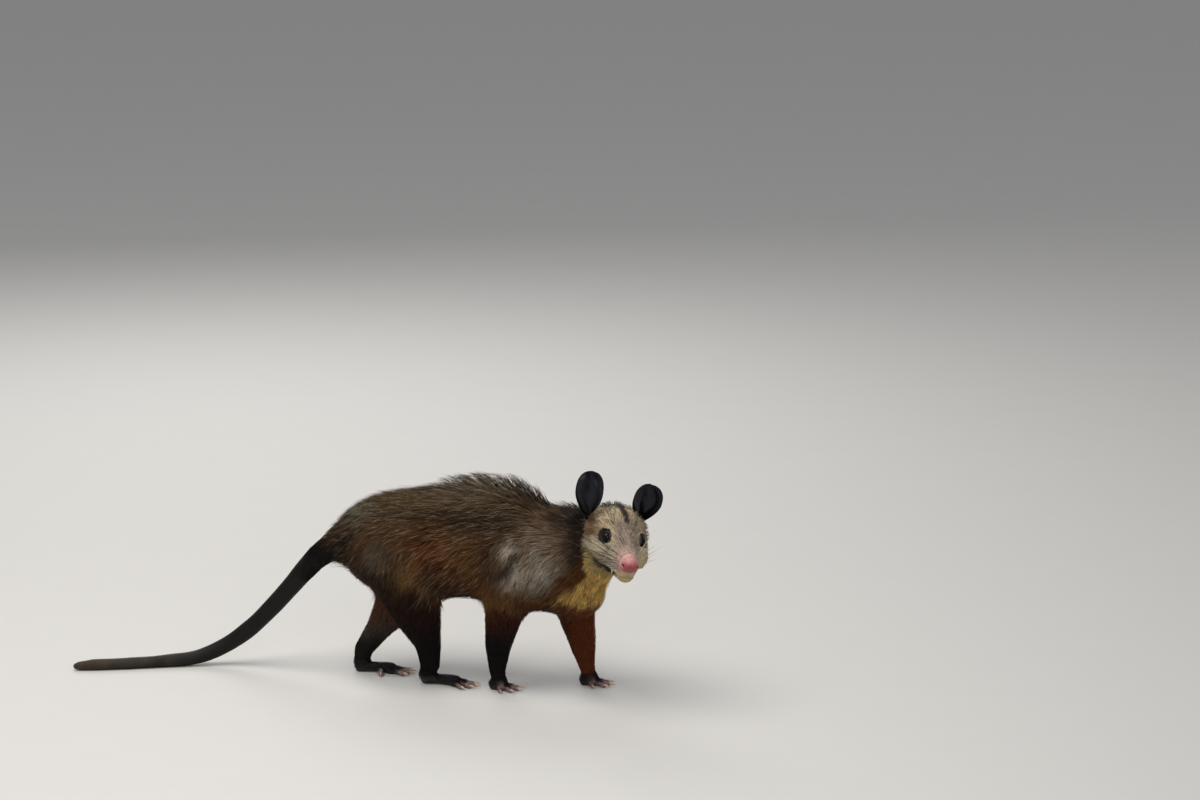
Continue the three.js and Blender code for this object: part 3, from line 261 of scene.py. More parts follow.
# Coat: the way it lies on these parts, before it is laid along the skin
LIE = {
    "neck": (-0.93, 0.2, -0.3),
    "throat": (-0.6, 0.45, -0.65),
    "tail_root": (-0.65, 0, -0.75),
}
# The raised crest along the back, the nape behind the head, and the dark fuzz of the crown
CREST = {"from": -46, "full_from": 10, "full_to": 70, "to": 92, "half": 19}
NAPE = {"from": 100, "full_from": 112, "above": 186}
CROWN = {"from": -84, "to": -44, "above": 6}
# Each layer of the coat: how many tufts to a square millimetre, or None for as many as cover the skin, then
# their length and width next to the under-coat's, the shares of the coat's depth that their tips reach, and the
# shares with dark and with pale tips
LAYER = {
    "under": {"cover": None, "length": 1.0, "width": 1.0, "height": (0.5, 0.9), "dark": 0.34, "pale": 0.1},
    "guard": {"cover": 0.09, "length": 1.35, "width": 0.42, "height": (0.75, 1.05), "dark": 0.5, "pale": 0.2},
    "bristle": {"cover": 0.24, "length": 1.1, "width": 0.75, "height": (0.85, 1.2), "dark": 0.75,
                "pale": 0.14},
}
# How many times the under-coat covers the skin, and the length from which a tuft has three rings, not two
OVERLAPS = {"short": 3.15, "long": 8.8}
LONG_FROM = 17
# Along a tuft from its root: its stations, how bright each is, and how much of the tip's colour each takes
# The brightness falls towards the root: painted shade deep in the coat
TUFT = {
    "long": ((0, 0.34, 0.68, 1), (0.4, 0.75, 1.0, 1.0), (0, 0.05, 0.55, 1.0)),
    "short": ((0, 0.5, 1), (0.7, 1.0, 1.05), (0, 0.3, 0.75)),
}
# The width of each ring of a tuft below its tip, by the number of its stations
SWELL = {4: (0.75, 1.0, 0.7), 3: (0.85, 0.95)}
# The most tufts that one piece holds, by the number of stations in each
MOST_TUFTS = {4: 12000, 3: 19000}
# How deep a tuft is rooted, how many lean towards one leading tuft, and how strongly
ROOTED = 0.7
CLUMP = {"each": 8, "pull": 0.42}
# A part of the body with fewer tufts of a kind than this has none of them
FEWEST_TUFTS = 12
# The side of a tuft's patch on the unwrap
PATCH = 0.003
# The hide is this much of the brightness of the coat over it: painted shade under the coat
HIDE_SHADE = 0.6
# The width of a tuft at its widest: at no length, and how much it gains with each millimetre of length
TUFT_WIDTH = (0.3, 0.024)
# Hairs of the feet: how many to a square millimetre, their length and their width
FOOT_HAIR = {"cover": 1.1, "length": 4.2, "width": 0.4}
# Scales of the tail: how many go round it, the length of a row, how proud they stand, and points across one
SCALE = {"around": 22, "row": 2.3, "proud": 0.32, "per_scale": 3}
# Rows of whiskers: height of the root, how many, and how far up or down they sweep; then where a row starts and
# ends ahead of the eyes, and the length and thickness of the longest
WHISKERS = {"rows": [(-10, 4, 0.42), (-14, 5, 0.16), (-18, 5, -0.05), (-22, 5, -0.3)], "from": 13, "to": 40,
            "longest": 56, "thick": 0.36}
# Hairs above each eye: forward and out of the root, how far out they lean, and their length
BROW_HAIRS = [(-3, 12.4, 0.42, 27), (-4, 11.6, 0.02, 25), (-6, 13.5, 0.7, 23)]
BROW_THICK = 0.26

# Half the side of the floor
FLOOR_HALF = 14000
# The camera: its angles, scale and distance, the pixels of the picture's middle and of this frame's origin, the
# picture's width in pixels, and the sensor's in millimetres
VIEW = {"azimuth": 17, "elevation": 12, "pixels_per_mm": 0.92, "distance": 7400, "centre": (600, 400),
        "origin": (480, 683), "frame": 1200, "sensor": 36}
# Soft lights: place and aim in metres, width, power and colour
LIGHTS = {
    "overhead": ((-0.3, -0.6, 2.0), (0.05, 0, 0.1), 1.8, 34, (1, 0.98, 0.95)),
    "front_fill": ((0.9, -2.0, 0.9), (0.05, 0, 0.15), 1.4, 14, (0.95, 0.97, 1)),
    "back_rim": ((-0.8, 1.6, 1.3), (0, 0, 0.15), 1.2, 14, (1, 1, 1)),
}
# The even light from all round
SKY = {"colour": (0.9, 0.93, 1, 1), "strength": 0.35}


def linear(hex_colour):
    """An sRGB hex colour as linear red, green and blue."""
    values = np.array([int(hex_colour[n:n + 2], 16) for n in (1, 3, 5)]) / 255
    return np.where(values <= 0.04045, values / 12.92, ((values + 0.055) / 1.055) ** 2.4)


PAINT = {name: linear(value) for name, value in COLOUR.items()}


def smooth(value, low, high):
    """0 below low, 1 above high, easing in between."""
    share = np.clip((value - low) / (high - low), 0, 1)
    return share * share * (3 - 2 * share)


def mix(first, second, share):
    share = np.asarray(share)[..., None]
    return first * (1 - share) + second * share


def tint(colour, paint, share, bright=1):
    """A colour with a named paint mixed into it."""
    return mix(colour, PAINT[paint] * bright, share)


def away_from(place, points):
    return np.linalg.norm(points - place, axis=1)


def dots(first, second):
    return np.einsum("ij,ij->i", first, second)


def along_skin(vectors, normals):
    """The part of each vector that lies along the skin."""
    return vectors - dots(vectors, normals)[:, None] * normals


def turned_by(angle, ways, normals):
    """Directions on the skin, turned by an angle about its normals."""
    return ways * np.cos(angle)[:, None] + np.cross(normals, ways) * np.sin(angle)[:, None]


def waves(points, size, seed):
    """Smooth noise from -1 to 1 at points, with swells about size millimetres across."""
    draw = np.random.default_rng(seed)
    total = np.zeros(len(points))
    for _ in range(6):
        way = draw.normal(size=3)
        way /= np.linalg.norm(way)
        total += np.sin(points @ way * 2 * math.pi / (size * draw.uniform(0.7, 1.5)) + draw.uniform(0, 6.3))
    return total / 3


# Smooth forms, as distances to lines of balls


def distance_to_line(points, line):
    nearest = np.full(len(points), np.inf)
    for a, b in zip(line[:-1], line[1:]):
        start, along = a[:3], b[:3] - a[:3]
        offset = points - start
        share = np.clip(offset @ along / (along @ along), 0, 1)
        offset -= share[:, None] * along
        away = np.sqrt(dots(offset, offset))
        nearest = np.minimum(nearest, away - a[3] - share * (b[3] - a[3]))
    return nearest


def smooth_min(a, b, blend):
    overlap = np.maximum(blend - np.abs(a - b), 0) / blend
    return np.minimum(a, b) - overlap * overlap * blend / 4


def bare(line):
    """A line of balls without its coat, as an array of x, y, z and radius."""
    return np.array([(x, y, z, radius - coat) for x, y, z, radius, coat in line], float)


def blended(forms):
    def field(points):
        total = None
        for blend, line in forms:
            distance = distance_to_line(points, line)
            total = distance if total is None else smooth_min(total, distance, blend)
        return total

    return field


def slope(field, points, step=0.4):
    columns = []
    for axis in range(3):
        shift = np.zeros(3)
        shift[axis] = step
        columns.append((field(points + shift) - field(points - shift)) / (2 * step))
    return np.stack(columns, axis=1)


def unit(vectors):
    return vectors / np.maximum(np.linalg.norm(vectors, axis=-1, keepdims=True), 1e-9)


def head_axes():
    turn, down, roll = (math.radians(HEAD_TURN[name]) for name in ("right", "down", "roll"))
    forward = np.array([math.cos(turn) * math.cos(down), -math.sin(turn) * math.cos(down), -math.sin(down)])
    level = np.array([math.sin(turn), math.cos(turn), 0.0])
    upright = np.cross(forward, level)
    left = level * math.cos(roll) - upright * math.sin(roll)
    up = upright * math.cos(roll) + level * math.sin(roll)
    return np.array([forward, left, up])


AXES = head_axes()


def head_direction(*parts):
    return np.array(parts, float) @ AXES


def head_point(*parts):
    return HEAD_AT + head_direction(*parts)


def in_head(points):
    """Points as forward, left and up in the head's own frame."""
    return (points - HEAD_AT) @ AXES.T


def placed_in_head(line):
    return [(*head_point(f, s, v), radius, coat) for f, s, v, radius, coat in line]


def eye_centre(side):
    f, s, v = EYE["at"]
    return head_point(f, side * s + EYE["shift"], v + side * EYE["raise"])


def gaze(side):
    f, s, v = EYE["looks"]
    return unit(head_direction(f, side * s, v))


TRUNK_FORMS = [(blend, bare(line)) for blend, line in TRUNK.values()]
LEG_FORMS = [(LEG_BLEND, bare(line)) for line in LEG.values()]
HEAD_FORMS = [(blend, bare(placed_in_head(line))) for blend, line in HEAD.values()]


def mouth_gap(side):
    return np.array([(*head_point(f, side * s, v), half) for f, s, v, half in MOUTH_GAP])


def from_mouth(points):
    """Distance to the dark gap of the mouth."""
    return np.minimum(distance_to_line(points, mouth_gap(1)), distance_to_line(points, mouth_gap(-1)))


def animal_field(points):
    """Distance to the bare skin, with the hollows of the eyes, the sockets and the line of the mouth."""
    distance = blended(TRUNK_FORMS + LEG_FORMS + HEAD_FORMS)(points)
    near = away_from(HEAD_AT, points) < FACE_REACH
    if near.any():
        distance[near] = with_face(points[near], distance[near])
    return distance


def with_face(points, distance):
    for side in (1, -1):
        ahead = eye_centre(side) + gaze(side) * EYE["hollow_ahead"]
        hollow = EYE["hollow"] - away_from(ahead, points)
        distance = -smooth_min(-distance, -hollow, 5)
        away = away_from(eye_centre(side), points)
        distance = np.maximum(distance, EYE["radius"] + 0.4 - away)
        # The brow and the fold under the eye stand a little proud of the face
        height = (points - eye_centre(side)) @ AXES[2]
        ring = away - 10.5
        distance = distance - 0.9 * np.exp(-(ring / 2.2) ** 2) * smooth(np.abs(height), 1, 7)
    distance = -smooth_min(-distance, from_mouth(points), 1.2)
    distance = distance - 0.5 * np.exp(-((from_mouth(points) - 1.6) / 1.2) ** 2)
    return np.maximum(distance, in_head(points)[:, 0] - NOSE_CUT)


# Meshes


def new_object(name, mesh, material):
    thing = bpy.data.objects.new(name, mesh)
    bpy.context.scene.collection.objects.link(thing)
    mesh.materials.append(material)
    return thing


def mesh_of(name, points, *face_sets, smooth_shaded=True):
    """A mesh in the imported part's place, from points in millimetres and sets of equal-sized faces."""
    mesh = bpy.data.meshes.new(name)
    mesh.vertices.add(len(points))
    mesh.vertices.foreach_set("co", ((points + SHIFT) * MM).astype(np.float32).ravel())
    corners = np.concatenate([faces.ravel() for faces in face_sets])
    sizes = np.concatenate([np.full(len(faces), faces.shape[1]) for faces in face_sets])
    mesh.loops.add(len(corners))
    mesh.loops.foreach_set("vertex_index", corners.astype(np.int32))
    mesh.polygons.add(len(sizes))
    mesh.polygons.foreach_set("loop_start", (np.cumsum(sizes) - sizes).astype(np.int32))
    mesh.polygons.foreach_set("use_smooth", np.full(len(sizes), smooth_shaded))
    mesh.update()
    return mesh


def paint(mesh, colours):
    layer = mesh.attributes.new("markings", "FLOAT_COLOR", "POINT")
    rgba = np.ones((len(colours), 4), np.float32)
    rgba[:, :3] = colours
    layer.data.foreach_set("color", rgba.ravel())


def sampled(field, axes, block=4):
    """The field on grid lines along x, y and z: exact near its zero level, rough in blocks far from it."""
    shape = [len(lines) for lines in axes]
    starts = [np.arange(0, size, block) for size in shape]
    ends = [np.minimum(first + block, size - 1) for first, size in zip(starts, shape)]
    low = [lines[first] for lines, first in zip(axes, starts)]
    high = [lines[last] for lines, last in zip(axes, ends)]
    middle = np.stack(np.meshgrid(*[(a + b) / 2 for a, b in zip(low, high)], indexing="ij"), axis=-1)
    reach = np.stack(np.meshgrid(*[(b - a) / 2 for a, b in zip(low, high)], indexing="ij"), axis=-1)
    rough = field(middle.reshape(-1, 3)).reshape(middle.shape[:3])
    value = rough
    for axis, size in enumerate(shape):
        value = np.repeat(value, block, axis=axis).take(np.arange(size), axis=axis)
    close = np.argwhere(np.abs(rough) < np.linalg.norm(reach, axis=-1) * 1.3 + 3)
    within = np.stack(np.meshgrid(*[np.arange(block)] * 3, indexing="ij"), axis=-1).reshape(-1, 3)
    places = (close[:, None] * block + within).reshape(-1, 3)
    places = places[np.all(places < shape, axis=1)]
    points = np.stack([lines[places[:, n]] for n, lines in enumerate(axes)], axis=1)
    value[tuple(places.T)] = field(points)
    return value


def surface_net(field, axes, settle=1):
    """Points and four-sided faces of a field's zero level, on grid lines whose steps may differ."""
    value = sampled(field, axes)
    shape = np.array(value.shape)
    inside = value < 0
    corners = [(i, j, k) for i in (0, 1) for j in (0, 1) for k in (0, 1)]
    counts = sum(inside[i:shape[0] - 1 + i, j:shape[1] - 1 + j, k:shape[2] - 1 + k].astype(np.int8)
                 for i, j, k in corners)
    cells = np.argwhere((counts > 0) & (counts < 8))
    number = np.full(shape - 1, -1)
    number[tuple(cells.T)] = np.arange(len(cells))
    total = np.zeros((len(cells), 3))
    crossings = np.zeros(len(cells))
    for corner in corners:
        for axis in range(3):
            if corner[axis]:
                continue
            first = cells + corner
            second = first + np.eye(3, dtype=int)[axis]
            a, b = value[tuple(first.T)], value[tuple(second.T)]
            crosses = (a < 0) != (b < 0)
            share = np.where(crosses, a / np.where(crosses, a - b, 1), 0)
            start = np.stack([axes[n][first[:, n]] for n in range(3)], axis=1)
            end = np.stack([axes[n][second[:, n]] for n in range(3)], axis=1)
            total += np.where(crosses[:, None], start + share[:, None] * (end - start), 0)
            crossings += crosses
    points = total / crossings[:, None]
    for _ in range(settle):
        grad = slope(field, points)
        move = -(field(points) / np.maximum(dots(grad, grad), 0.2))[:, None] * grad
        points = points + np.clip(move, -0.8, 0.8)
    return points, net_faces(inside, number)


def net_faces(inside, number):
    """A face round each grid edge that passes through the surface, turned to face out."""
    faces = []
    for axis in range(3):
        u, v = (axis + 1) % 3, (axis + 2) % 3
        near = [slice(1, -1)] * 3
        near[axis] = slice(0, -1)
        far = list(near)
        far[axis] = slice(1, None)
        here, there = inside[tuple(near)], inside[tuple(far)]
        for crossing, order in ((here & ~there, (0, 1, 2, 3)), (~here & there, (3, 2, 1, 0))):
            at = np.argwhere(crossing) + [0 if n == axis else 1 for n in range(3)]
            ring = []
            for du, dv in ((1, 1), (0, 1), (0, 0), (1, 0)):
                cell = at.copy()
                cell[:, u] -= du
                cell[:, v] -= dv
                ring.append(number[tuple(cell.T)])
            faces.append(np.stack([ring[n] for n in order], axis=1))
    return np.concatenate(faces)


def grid_lines(*spans):
    """Grid lines along one axis: spans of (start, end, the part whose step they take)."""
    return np.concatenate([np.arange(start, end, GRID[part]) for start, end, part in spans])


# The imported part's origin lies under the middle of its outline: the eyes tell how far that is from here
low_corner, high_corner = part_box("eye_right")
SHIFT = np.array((low_corner + high_corner) / 2) / MM - head_point(*EYE_IN_SOLIDS)


def tube(stations, sides):
    """A closed tube through (middle, across, up) stations, where across and up are half its size there."""
    angles = (np.arange(sides) + 0.5) / sides * 2 * math.pi
    points = [middle + math.cos(angle) * across + math.sin(angle) * up
              for middle, across, up in stations for angle in angles]
    faces = []
    for n in range(len(stations) - 1):
        for s in range(sides):
            a, b = n * sides + s, n * sides + (s + 1) % sides
            faces.append((a, b, b + sides, a + sides))
    for n, turned in ((0, True), (len(stations) - 1, False)):
        middle = len(points)
        points.append(stations[n][0])
        for s in range(sides):
            a, b = n * sides + s, n * sides + (s + 1) % sides
            faces.append((middle, b, a, a) if turned else (middle, a, b, b))
    return np.array(points), faces


def joined(parts):
    """Several (points, faces) as one."""
    points, faces, count = [], [], 0
    for part_points, part_faces in parts:
        points.append(part_points)
        faces += [tuple(n + count for n in face) for face in part_faces]
        count += len(part_points)
    return np.concatenate(points), faces


def tube_object(name, points, faces, material):
    """An object from the faces of tubes, which have three or four corners."""
    mesh = bpy.data.meshes.new(name)
    mesh.from_pydata(((points + SHIFT) * MM).tolist(), [], [tuple(dict.fromkeys(face)) for face in faces])
    mesh.polygons.foreach_set("use_smooth", np.ones(len(mesh.polygons), bool))
    mesh.update()
    return new_object(name, mesh, material)


# Materials


def node(material, kind, settings=None, **links):
    """Adds a node with its settings, and links its inputs, given by name with _ for a space."""
    tree = material.node_tree
    made = tree.nodes.new(kind)
    for key, value in (settings or {}).items():
        if isinstance(key, str) and hasattr(made, key):
            setattr(made, key, value)
        else:
            made.inputs[key].default_value = value
    for key, output in links.items():
        tree.links.new(output, made.inputs[key.replace("_", " ")])
    return made


def finish_of(name, roughness, ior=1.45, **sockets):
    """A new material with its Principled shader."""
    material = bpy.data.materials.new(name)
    material.use_nodes = True
    shader = material.node_tree.nodes["Principled BSDF"]
    shader.inputs["Roughness"].default_value = roughness
    shader.inputs["IOR"].default_value = ior
    for socket, value in sockets.items():
        shader.inputs[socket.replace("_", " ")].default_value = value
    return material, shader


def noise_of(material, size_mm, detail):
    """Noise in the object's own space, with swells of a real size."""
    place = node(material, "ShaderNodeTexCoord")
    return node(material, "ShaderNodeTexNoise", {"Scale": 1 / (size_mm * MM), "Detail": detail},
                Vector=place.outputs["Object"])


def marked_material(name, roughness, ior, size_mm, detail, spread, **sockets):
    """A material that shows the markings, mottled lighter and darker by the spread."""
    material, shader = finish_of(name, roughness, ior, **sockets)
    colour = node(material, "ShaderNodeAttribute", {"attribute_name": "markings"})
    noise = noise_of(material, size_mm, detail)
    span = node(material, "ShaderNodeMapRange", {"To Min": 1 - spread, "To Max": 1 + spread},
                Value=noise.outputs["Fac"])
    shaded = node(material, "ShaderNodeVectorMath", {"operation": "SCALE"}, Vector=colour.outputs["Color"],
                  Scale=span.outputs["Result"])
    material.node_tree.links.new(shaded.outputs["Vector"], shader.inputs["Base Color"])
    return material, shader


def skin_material(name, roughness, pore_mm, depth_mm, **sockets):
    """Bare or haired skin: the markings with fine pores and creases that break the light."""
    material, shader = marked_material(name, roughness, 1.4, 4 * pore_mm, 4.0, 0.3, **sockets)
    place = node(material, "ShaderNodeTexCoord")
    pores = node(material, "ShaderNodeTexVoronoi",
                 {"feature": "DISTANCE_TO_EDGE", "Scale": 1 / (pore_mm * MM)}, Vector=place.outputs["Object"])
    bump = node(material, "ShaderNodeBump", {"Strength": 0.8, "Distance": depth_mm * MM},
                Height=pores.outputs["Distance"])
    material.node_tree.links.new(bump.outputs["Normal"], shader.inputs["Normal"])
    return material


def plain_material(name, colour, roughness, ior, size_mm, strength, **sockets):
    """A material whose one colour wanders a little."""
    material, shader = finish_of(name, roughness, ior, **sockets)
    noise = noise_of(material, size_mm, 3.0)
    ramp = node(material, "ShaderNodeValToRGB", Fac=noise.outputs["Fac"])
    ramp.color_ramp.elements[0].color = (*(PAINT[colour] * (1 - strength)), 1)
    ramp.color_ramp.elements[1].color = (*np.minimum(PAINT[colour] * (1 + strength), 1), 1)
    material.node_tree.links.new(ramp.outputs["Color"], shader.inputs["Base Color"])
    return material


# Guard hair: soft matt keratin with hardly any shine, and each tuft mottled along its length
COAT, _ = marked_material("keratin_guard_hair", 0.72, 1.55, 2.4, 2.0, 0.28, Specular_IOR_Level=0.12)
# Hide under the coat, seen only between the hairs
HIDE = skin_material("furred_hide", 0.8, 1.4, 0.15)
# Leathery soles and toes: fine granular creases catch the light
FOOT_SKIN = skin_material("granular_foot_skin", 0.55, 0.9, 0.25)
# Scaly tail skin: dull, with a soft shine along the scales
TAIL_SKIN = skin_material("scaly_tail_skin", 0.55, 0.8, 0.12, Specular_IOR_Level=0.28)
# Bare ear leather: thin, near black, with a cool shine on its folds
EAR_LEATHER = skin_material("bare_ear_leather", 0.24, 0.8, 0.04, Specular_IOR_Level=0.24)
# Moist nose pad: pink and finely pebbled
NOSE_SKIN = skin_material("moist_nose_skin", 0.32, 0.55, 0.16)
# Dark lid leather with a damp edge
LID_SKIN = skin_material("dark_lid_skin", 0.4, 0.7, 0.1)
# Wet cornea over a dark brown iris: near black with one sharp highlight
EYE_CORNEA = plain_material("wet_dark_cornea", "eye", 0.03, 1.376, 3, 0.6, Specular_IOR_Level=0.3)
# Claw horn: pale, smooth and a little cloudy
CLAW_HORN = plain_material("claw_horn", "claw", 0.38, 1.55, 2, 0.25)
# Tooth enamel: glossy ivory
TOOTH_ENAMEL = plain_material("tooth_enamel", "tooth", 0.25, 1.63, 2, 0.08)
# Whisker keratin: stiff hairs with a soft gleam, black on the right side and pale on the left
WHISKER_HAIR = plain_material("stiff_whisker_keratin", "whisker", 0.4, 1.55, 4, 0.3)
PALE_WHISKER = plain_material("pale_whisker_keratin", "pale_whisker", 0.4, 1.55, 4, 0.2)
# Matt paint on a flat floor, which throws back a soft even light
FLOOR_PAINT = plain_material("matt_floor_paint", "floor", 0.85, 1.5, 60, 0.015)


# Markings: the colour of the coat at points on the skin


def spot(points, middle, spread, drift=0):
    """1 at a spot's middle, falling to 0 past its spread along each axis."""
    away = ((points - middle) / spread) ** 2
    return np.exp(-away.sum(axis=1) + 0.35 * drift)


def trunk_colour(points, normal):
    """Grizzled umber: dark on spine and haunch, rust low on the flank, painted light on the shoulder."""
    x, y, z = points.T
    drift = waves(points, 42, 3)
    fine = waves(points, 13, 4)
    # Painted top light: the coat turns lighter and greyer towards the top of the back
    colour = mix(PAINT["flank_upper_lit"], PAINT["flank"], smooth(z + 7 * drift, 200, 170))
    colour = tint(colour, "ochre", np.clip(0.4 * drift + 0.5 * fine - 0.15, 0, 0.45) * smooth(z, 210, 150))
    for paint, strength, (ahead, up), (along, high) in FLANK_PATCHES:
        share = np.clip(1.3 * spot(points, (ahead, 0, up), (along, 200, high), 1.6 * fine), 0, 1)
        colour = tint(colour, paint, strength * share)
    # Painted shade: a dark line along the crease in front of the shoulder
    ahead, up = SHOULDER_CREASE_SHADE["at"]
    across = (x - ahead) * 0.7 - (z - up) * 0.7
    ends = smooth(np.abs(x - ahead + z - up), 2 * SHOULDER_CREASE_SHADE["half"], SHOULDER_CREASE_SHADE["half"])
    colour = tint(colour, "deep_brown_and_crease_shade", 0.85 * np.exp(-(across / SHOULDER_CREASE_SHADE["width"]) ** 2) * ends)
    # Painted shade: darker where the skin faces down
    colour = tint(colour, "underside_shade", smooth(-normal[:, 2], 0.0, 0.7))
    return tint(colour, "dorsal", 0.85 * smooth(np.abs(y) - 2 * drift, 7.5, 2) * smooth(z, 165, 190))


def neck_colour(points, trunk):
    """Near black at the nape, and a dark red-brown band behind the face."""
    x, _, z = points.T
    drift = waves(points, 26, 5)
    colour = mix(PAINT["neck_side"], trunk, smooth(x + 5 * drift, 118, 102))
    along = (points - NECK_START) @ NECK_WAY
    colour = tint(colour, "neck_band", 0.9 * smooth(along + 3 * drift, 34, 50))
    return tint(colour, "nape", smooth(z + 5 * drift, 184, 198))


def throat_edge(x):
    """How high the ochre of the throat and the chest reaches at each place along the body."""
    return np.interp(x, THROAT_EDGE[0], THROAT_EDGE[1])


def throat_share(points):
    """Where the ochre shows: from below the jaw down the front of the chest, to the tops of the forelegs."""
    x, y, z = points.T
    drift = waves(points, 18, 8)
    below = smooth(z - throat_edge(x) + 4 * drift, 4, -4) * smooth(x + 3 * drift, 78, 92)
    # Under the turned head the throat lies further to the side than the chest does
    aside = np.abs(y) - 1.3 * np.clip(x - 130, 0, 30)
    return below * smooth(z + 3 * drift, 104, 112) * smooth(aside, 48, 36)


def chest_colour(points, colour):
    """Ochre on the throat and the chest, with rust along its upper edge and flecks of it within."""
    x, y, z = points.T
    drift = waves(points, 16, 9)
    rust = smooth(np.abs(z - throat_edge(x) - 7 + 4 * drift), 13, 5) * smooth(x + 4 * drift, 56, 76)
    colour = tint(colour, "chest_rust", 0.85 * rust * smooth(np.abs(y), 50, 38) * smooth(x, 150, 132))
    foot_of_chest = smooth(z + 3 * drift, 112, 102) * smooth(x, 92, 106) * smooth(np.abs(y), 50, 38)
    colour = tint(colour, "leg_rust", 0.85 * foot_of_chest, 1.4)
    flecks = np.clip(0.1 + 0.35 * waves(points, 11, 10), 0, 0.6)
    ochre = mix(PAINT["chest"], PAINT["chest_rust"], flecks) * (1 + 0.3 * waves(points, 5, 13))[:, None]
    return mix(colour, ochre, throat_share(points))


def leg_colour(points, name, trunk):
    """Near black, red-brown inside and at the top, where the body's coat runs over it."""
    _, y, z = points.T
    drift = waves(points, 24, 11)
    low, high = LEG_TOP[name.split("_")[0]]
    left = name.endswith("left")
    inner = smooth(y * (-1 if left else 1), -34, -24)
    # Painted light: the left legs, on the far side, are lighter than the right
    dark = PAINT["leg"] * (2.6 if left else 1)
    rust = PAINT["leg_rust"] * (1.5 if left else 1)
    outside = 0.14 + (0.3 * smooth(z, 60, 95) if name == "fore_right" else 0)
    faded = smooth(z + 6 * drift, 40, 86) if left else smooth(z + 6 * drift, 44, low)
    colour = mix(dark, rust, (outside + 0.7 * inner * (1 - outside)) * faded)
    # Painted sheen: a lighter band midway down the left hind leg
    if name == "hind_left":
        colour = tint(colour, "neck_side", 0.35 * smooth(np.abs(z - 60 + 5 * drift), 30, 8) * inner)
    return mix(colour, trunk, smooth(z + 8 * drift, low, high))


def face_colour(points):
    """Cream, with the stripe of the forehead, black rims to the eyes and the brown before the ears."""
    local = in_head(points)
    f, s, v = local.T
    drift = waves(points, 9, 21)
    fine = waves(points, 3.2, 22)
    colour = mix(PAINT["forehead"], PAINT["cheek"], smooth(v + 2 * drift, 4, -12))
    # Painted shade of the whiskers: the lower cheek is darker and yellower
    colour = tint(colour, "cheek_low_shade", smooth(v + 2 * drift, -15, -27) * smooth(f, 22, 8))
    middle = smooth(f + drift, -14, 4) * smooth(np.abs(s - 1), 15, 7)
    colour = tint(colour, "between_eyes", 0.8 * middle)
    colour = tint(colour, "muzzle", smooth(f + 2 * drift - 0.35 * np.abs(s), 18, 36) * smooth(v, -31, -25))
    colour = tint(colour, "nose_top", 0.7 * smooth(f, NOSE_CUT - 10, NOSE_CUT - 2) * smooth(v, -26, -20))
    for side in (1, -1):
        patch = np.clip(2.2 * spot(local, (-34, side * 25, 0), (15, 13, 9), drift), 0, 1)
        colour = tint(colour, "brow_brown", 0.8 * patch)
        away = away_from(eye_centre(side), points)
        colour = tint(colour, "eye_ring", smooth(away + 0.5 * fine, *EYE["dark"]))
        ahead, out, up = EYE_SHADE[side]
        shade = away_from(eye_centre(side) + head_direction(ahead, side * out, up), points)
        colour = tint(colour, "eye_ring", 0.9 * smooth(shade + 0.5 * fine, 9.4, 7.8))
        outer = spot(local, (-10, side * 21, 2), (8, 6, 5), fine)
        colour = tint(colour, "brow_brown", 0.6 * np.clip(outer, 0, 1), 0.4)
        tear = spot(local, (9, side * 13.5, -11), (8, 3.2, 2.4), fine)
        colour = tint(colour, "stripe", 0.7 * np.clip(tear, 0, 1))
        roots = spot(local, (27, side * 12, -20), (14, 7, 6), fine)
        colour = tint(colour, "lip_fur", 0.6 * np.clip(roots, 0, 1) * (0.6 + 0.4 * np.sin(f * 1.6)))
    lip_front = smooth(v + drift, -24, -28) * smooth(f, 24, 36)
    below = smooth(v + drift, -31, -35)
    colour = tint(colour, "jaw_fur", 0.85 * below * smooth(f, 38, 30))
    colour = tint(colour, "lip_fur", 0.6 * smooth(from_mouth(points), 4, 2) * smooth(f, 30, 22) * below, 0.6)
    colour = tint(colour, "chest", 0.4 * below * smooth(f + drift, -18, -28))
    colour = tint(colour, "chin", np.maximum(below * smooth(f, 30, 38), 0.8 * lip_front))
    colour = tint(colour, "chin", 0.6 * smooth(s, 10, 16) * smooth(v, -10, -20))
    width = 2.5 + 0.06 * np.clip(-f - 5, 0, 60)
    middle = 0.15 * np.clip(f + 14, 0, 20)
    stripe = smooth(np.abs(s - middle + 0.5 * drift), width + 1.2, width - 1.6)
    colour = tint(colour, "stripe", 0.92 * (stripe * smooth(f, 4, -3) * smooth(v, 6, 12)))
    wide = 2.4 + 1.8 * smooth(f, 16, 4)
    lip = smooth(from_mouth(points), wide, 0.4 * wide) * (0.3 + 0.7 * smooth(f, 32, 22))
    colour = tint(colour, "lip", lip)
    for name in EAR:
        colour = tint(colour, "ear", smooth(distance_to_line(points, ear_opening(name)), 2.5, 0.5))
    edge = f + 0.22 * np.abs(s) - 0.42 * v + 2.2 * drift
    return tint(colour, "nape", smooth(edge, -44, -49) * smooth(v, -4, 4))


def face_share(points):
    """1 on the face, in front of the sharp edge behind its cheeks, 0 on the neck."""
    local = in_head(points)
    f, s, v = local.T
    border = -42 + 0.45 * np.clip(-v - 26, 0, 40) - 0.55 * np.clip(v + 8, 0, 30)
    near = smooth(away_from(HEAD_AT, points), FACE_REACH + 4, FACE_REACH - 2)
    lowest = smooth(v + 0.25 * np.clip(-f, 0, 40), -42, -37)
    ahead = smooth(f + 1.6 * waves(points, 10, 25) - border, -2.5, 2.5)
    return near * ahead * np.maximum(lowest, smooth(f, -4, 4))


# Coat: where each tuft grows, how it lies, how long it is and what it is coloured


def lines_with_coat(table, place=lambda line: line):
    return [np.array([(x, y, z, radius - coat, coat) for x, y, z, radius, coat in place(line)], float)
            for _, line in table]


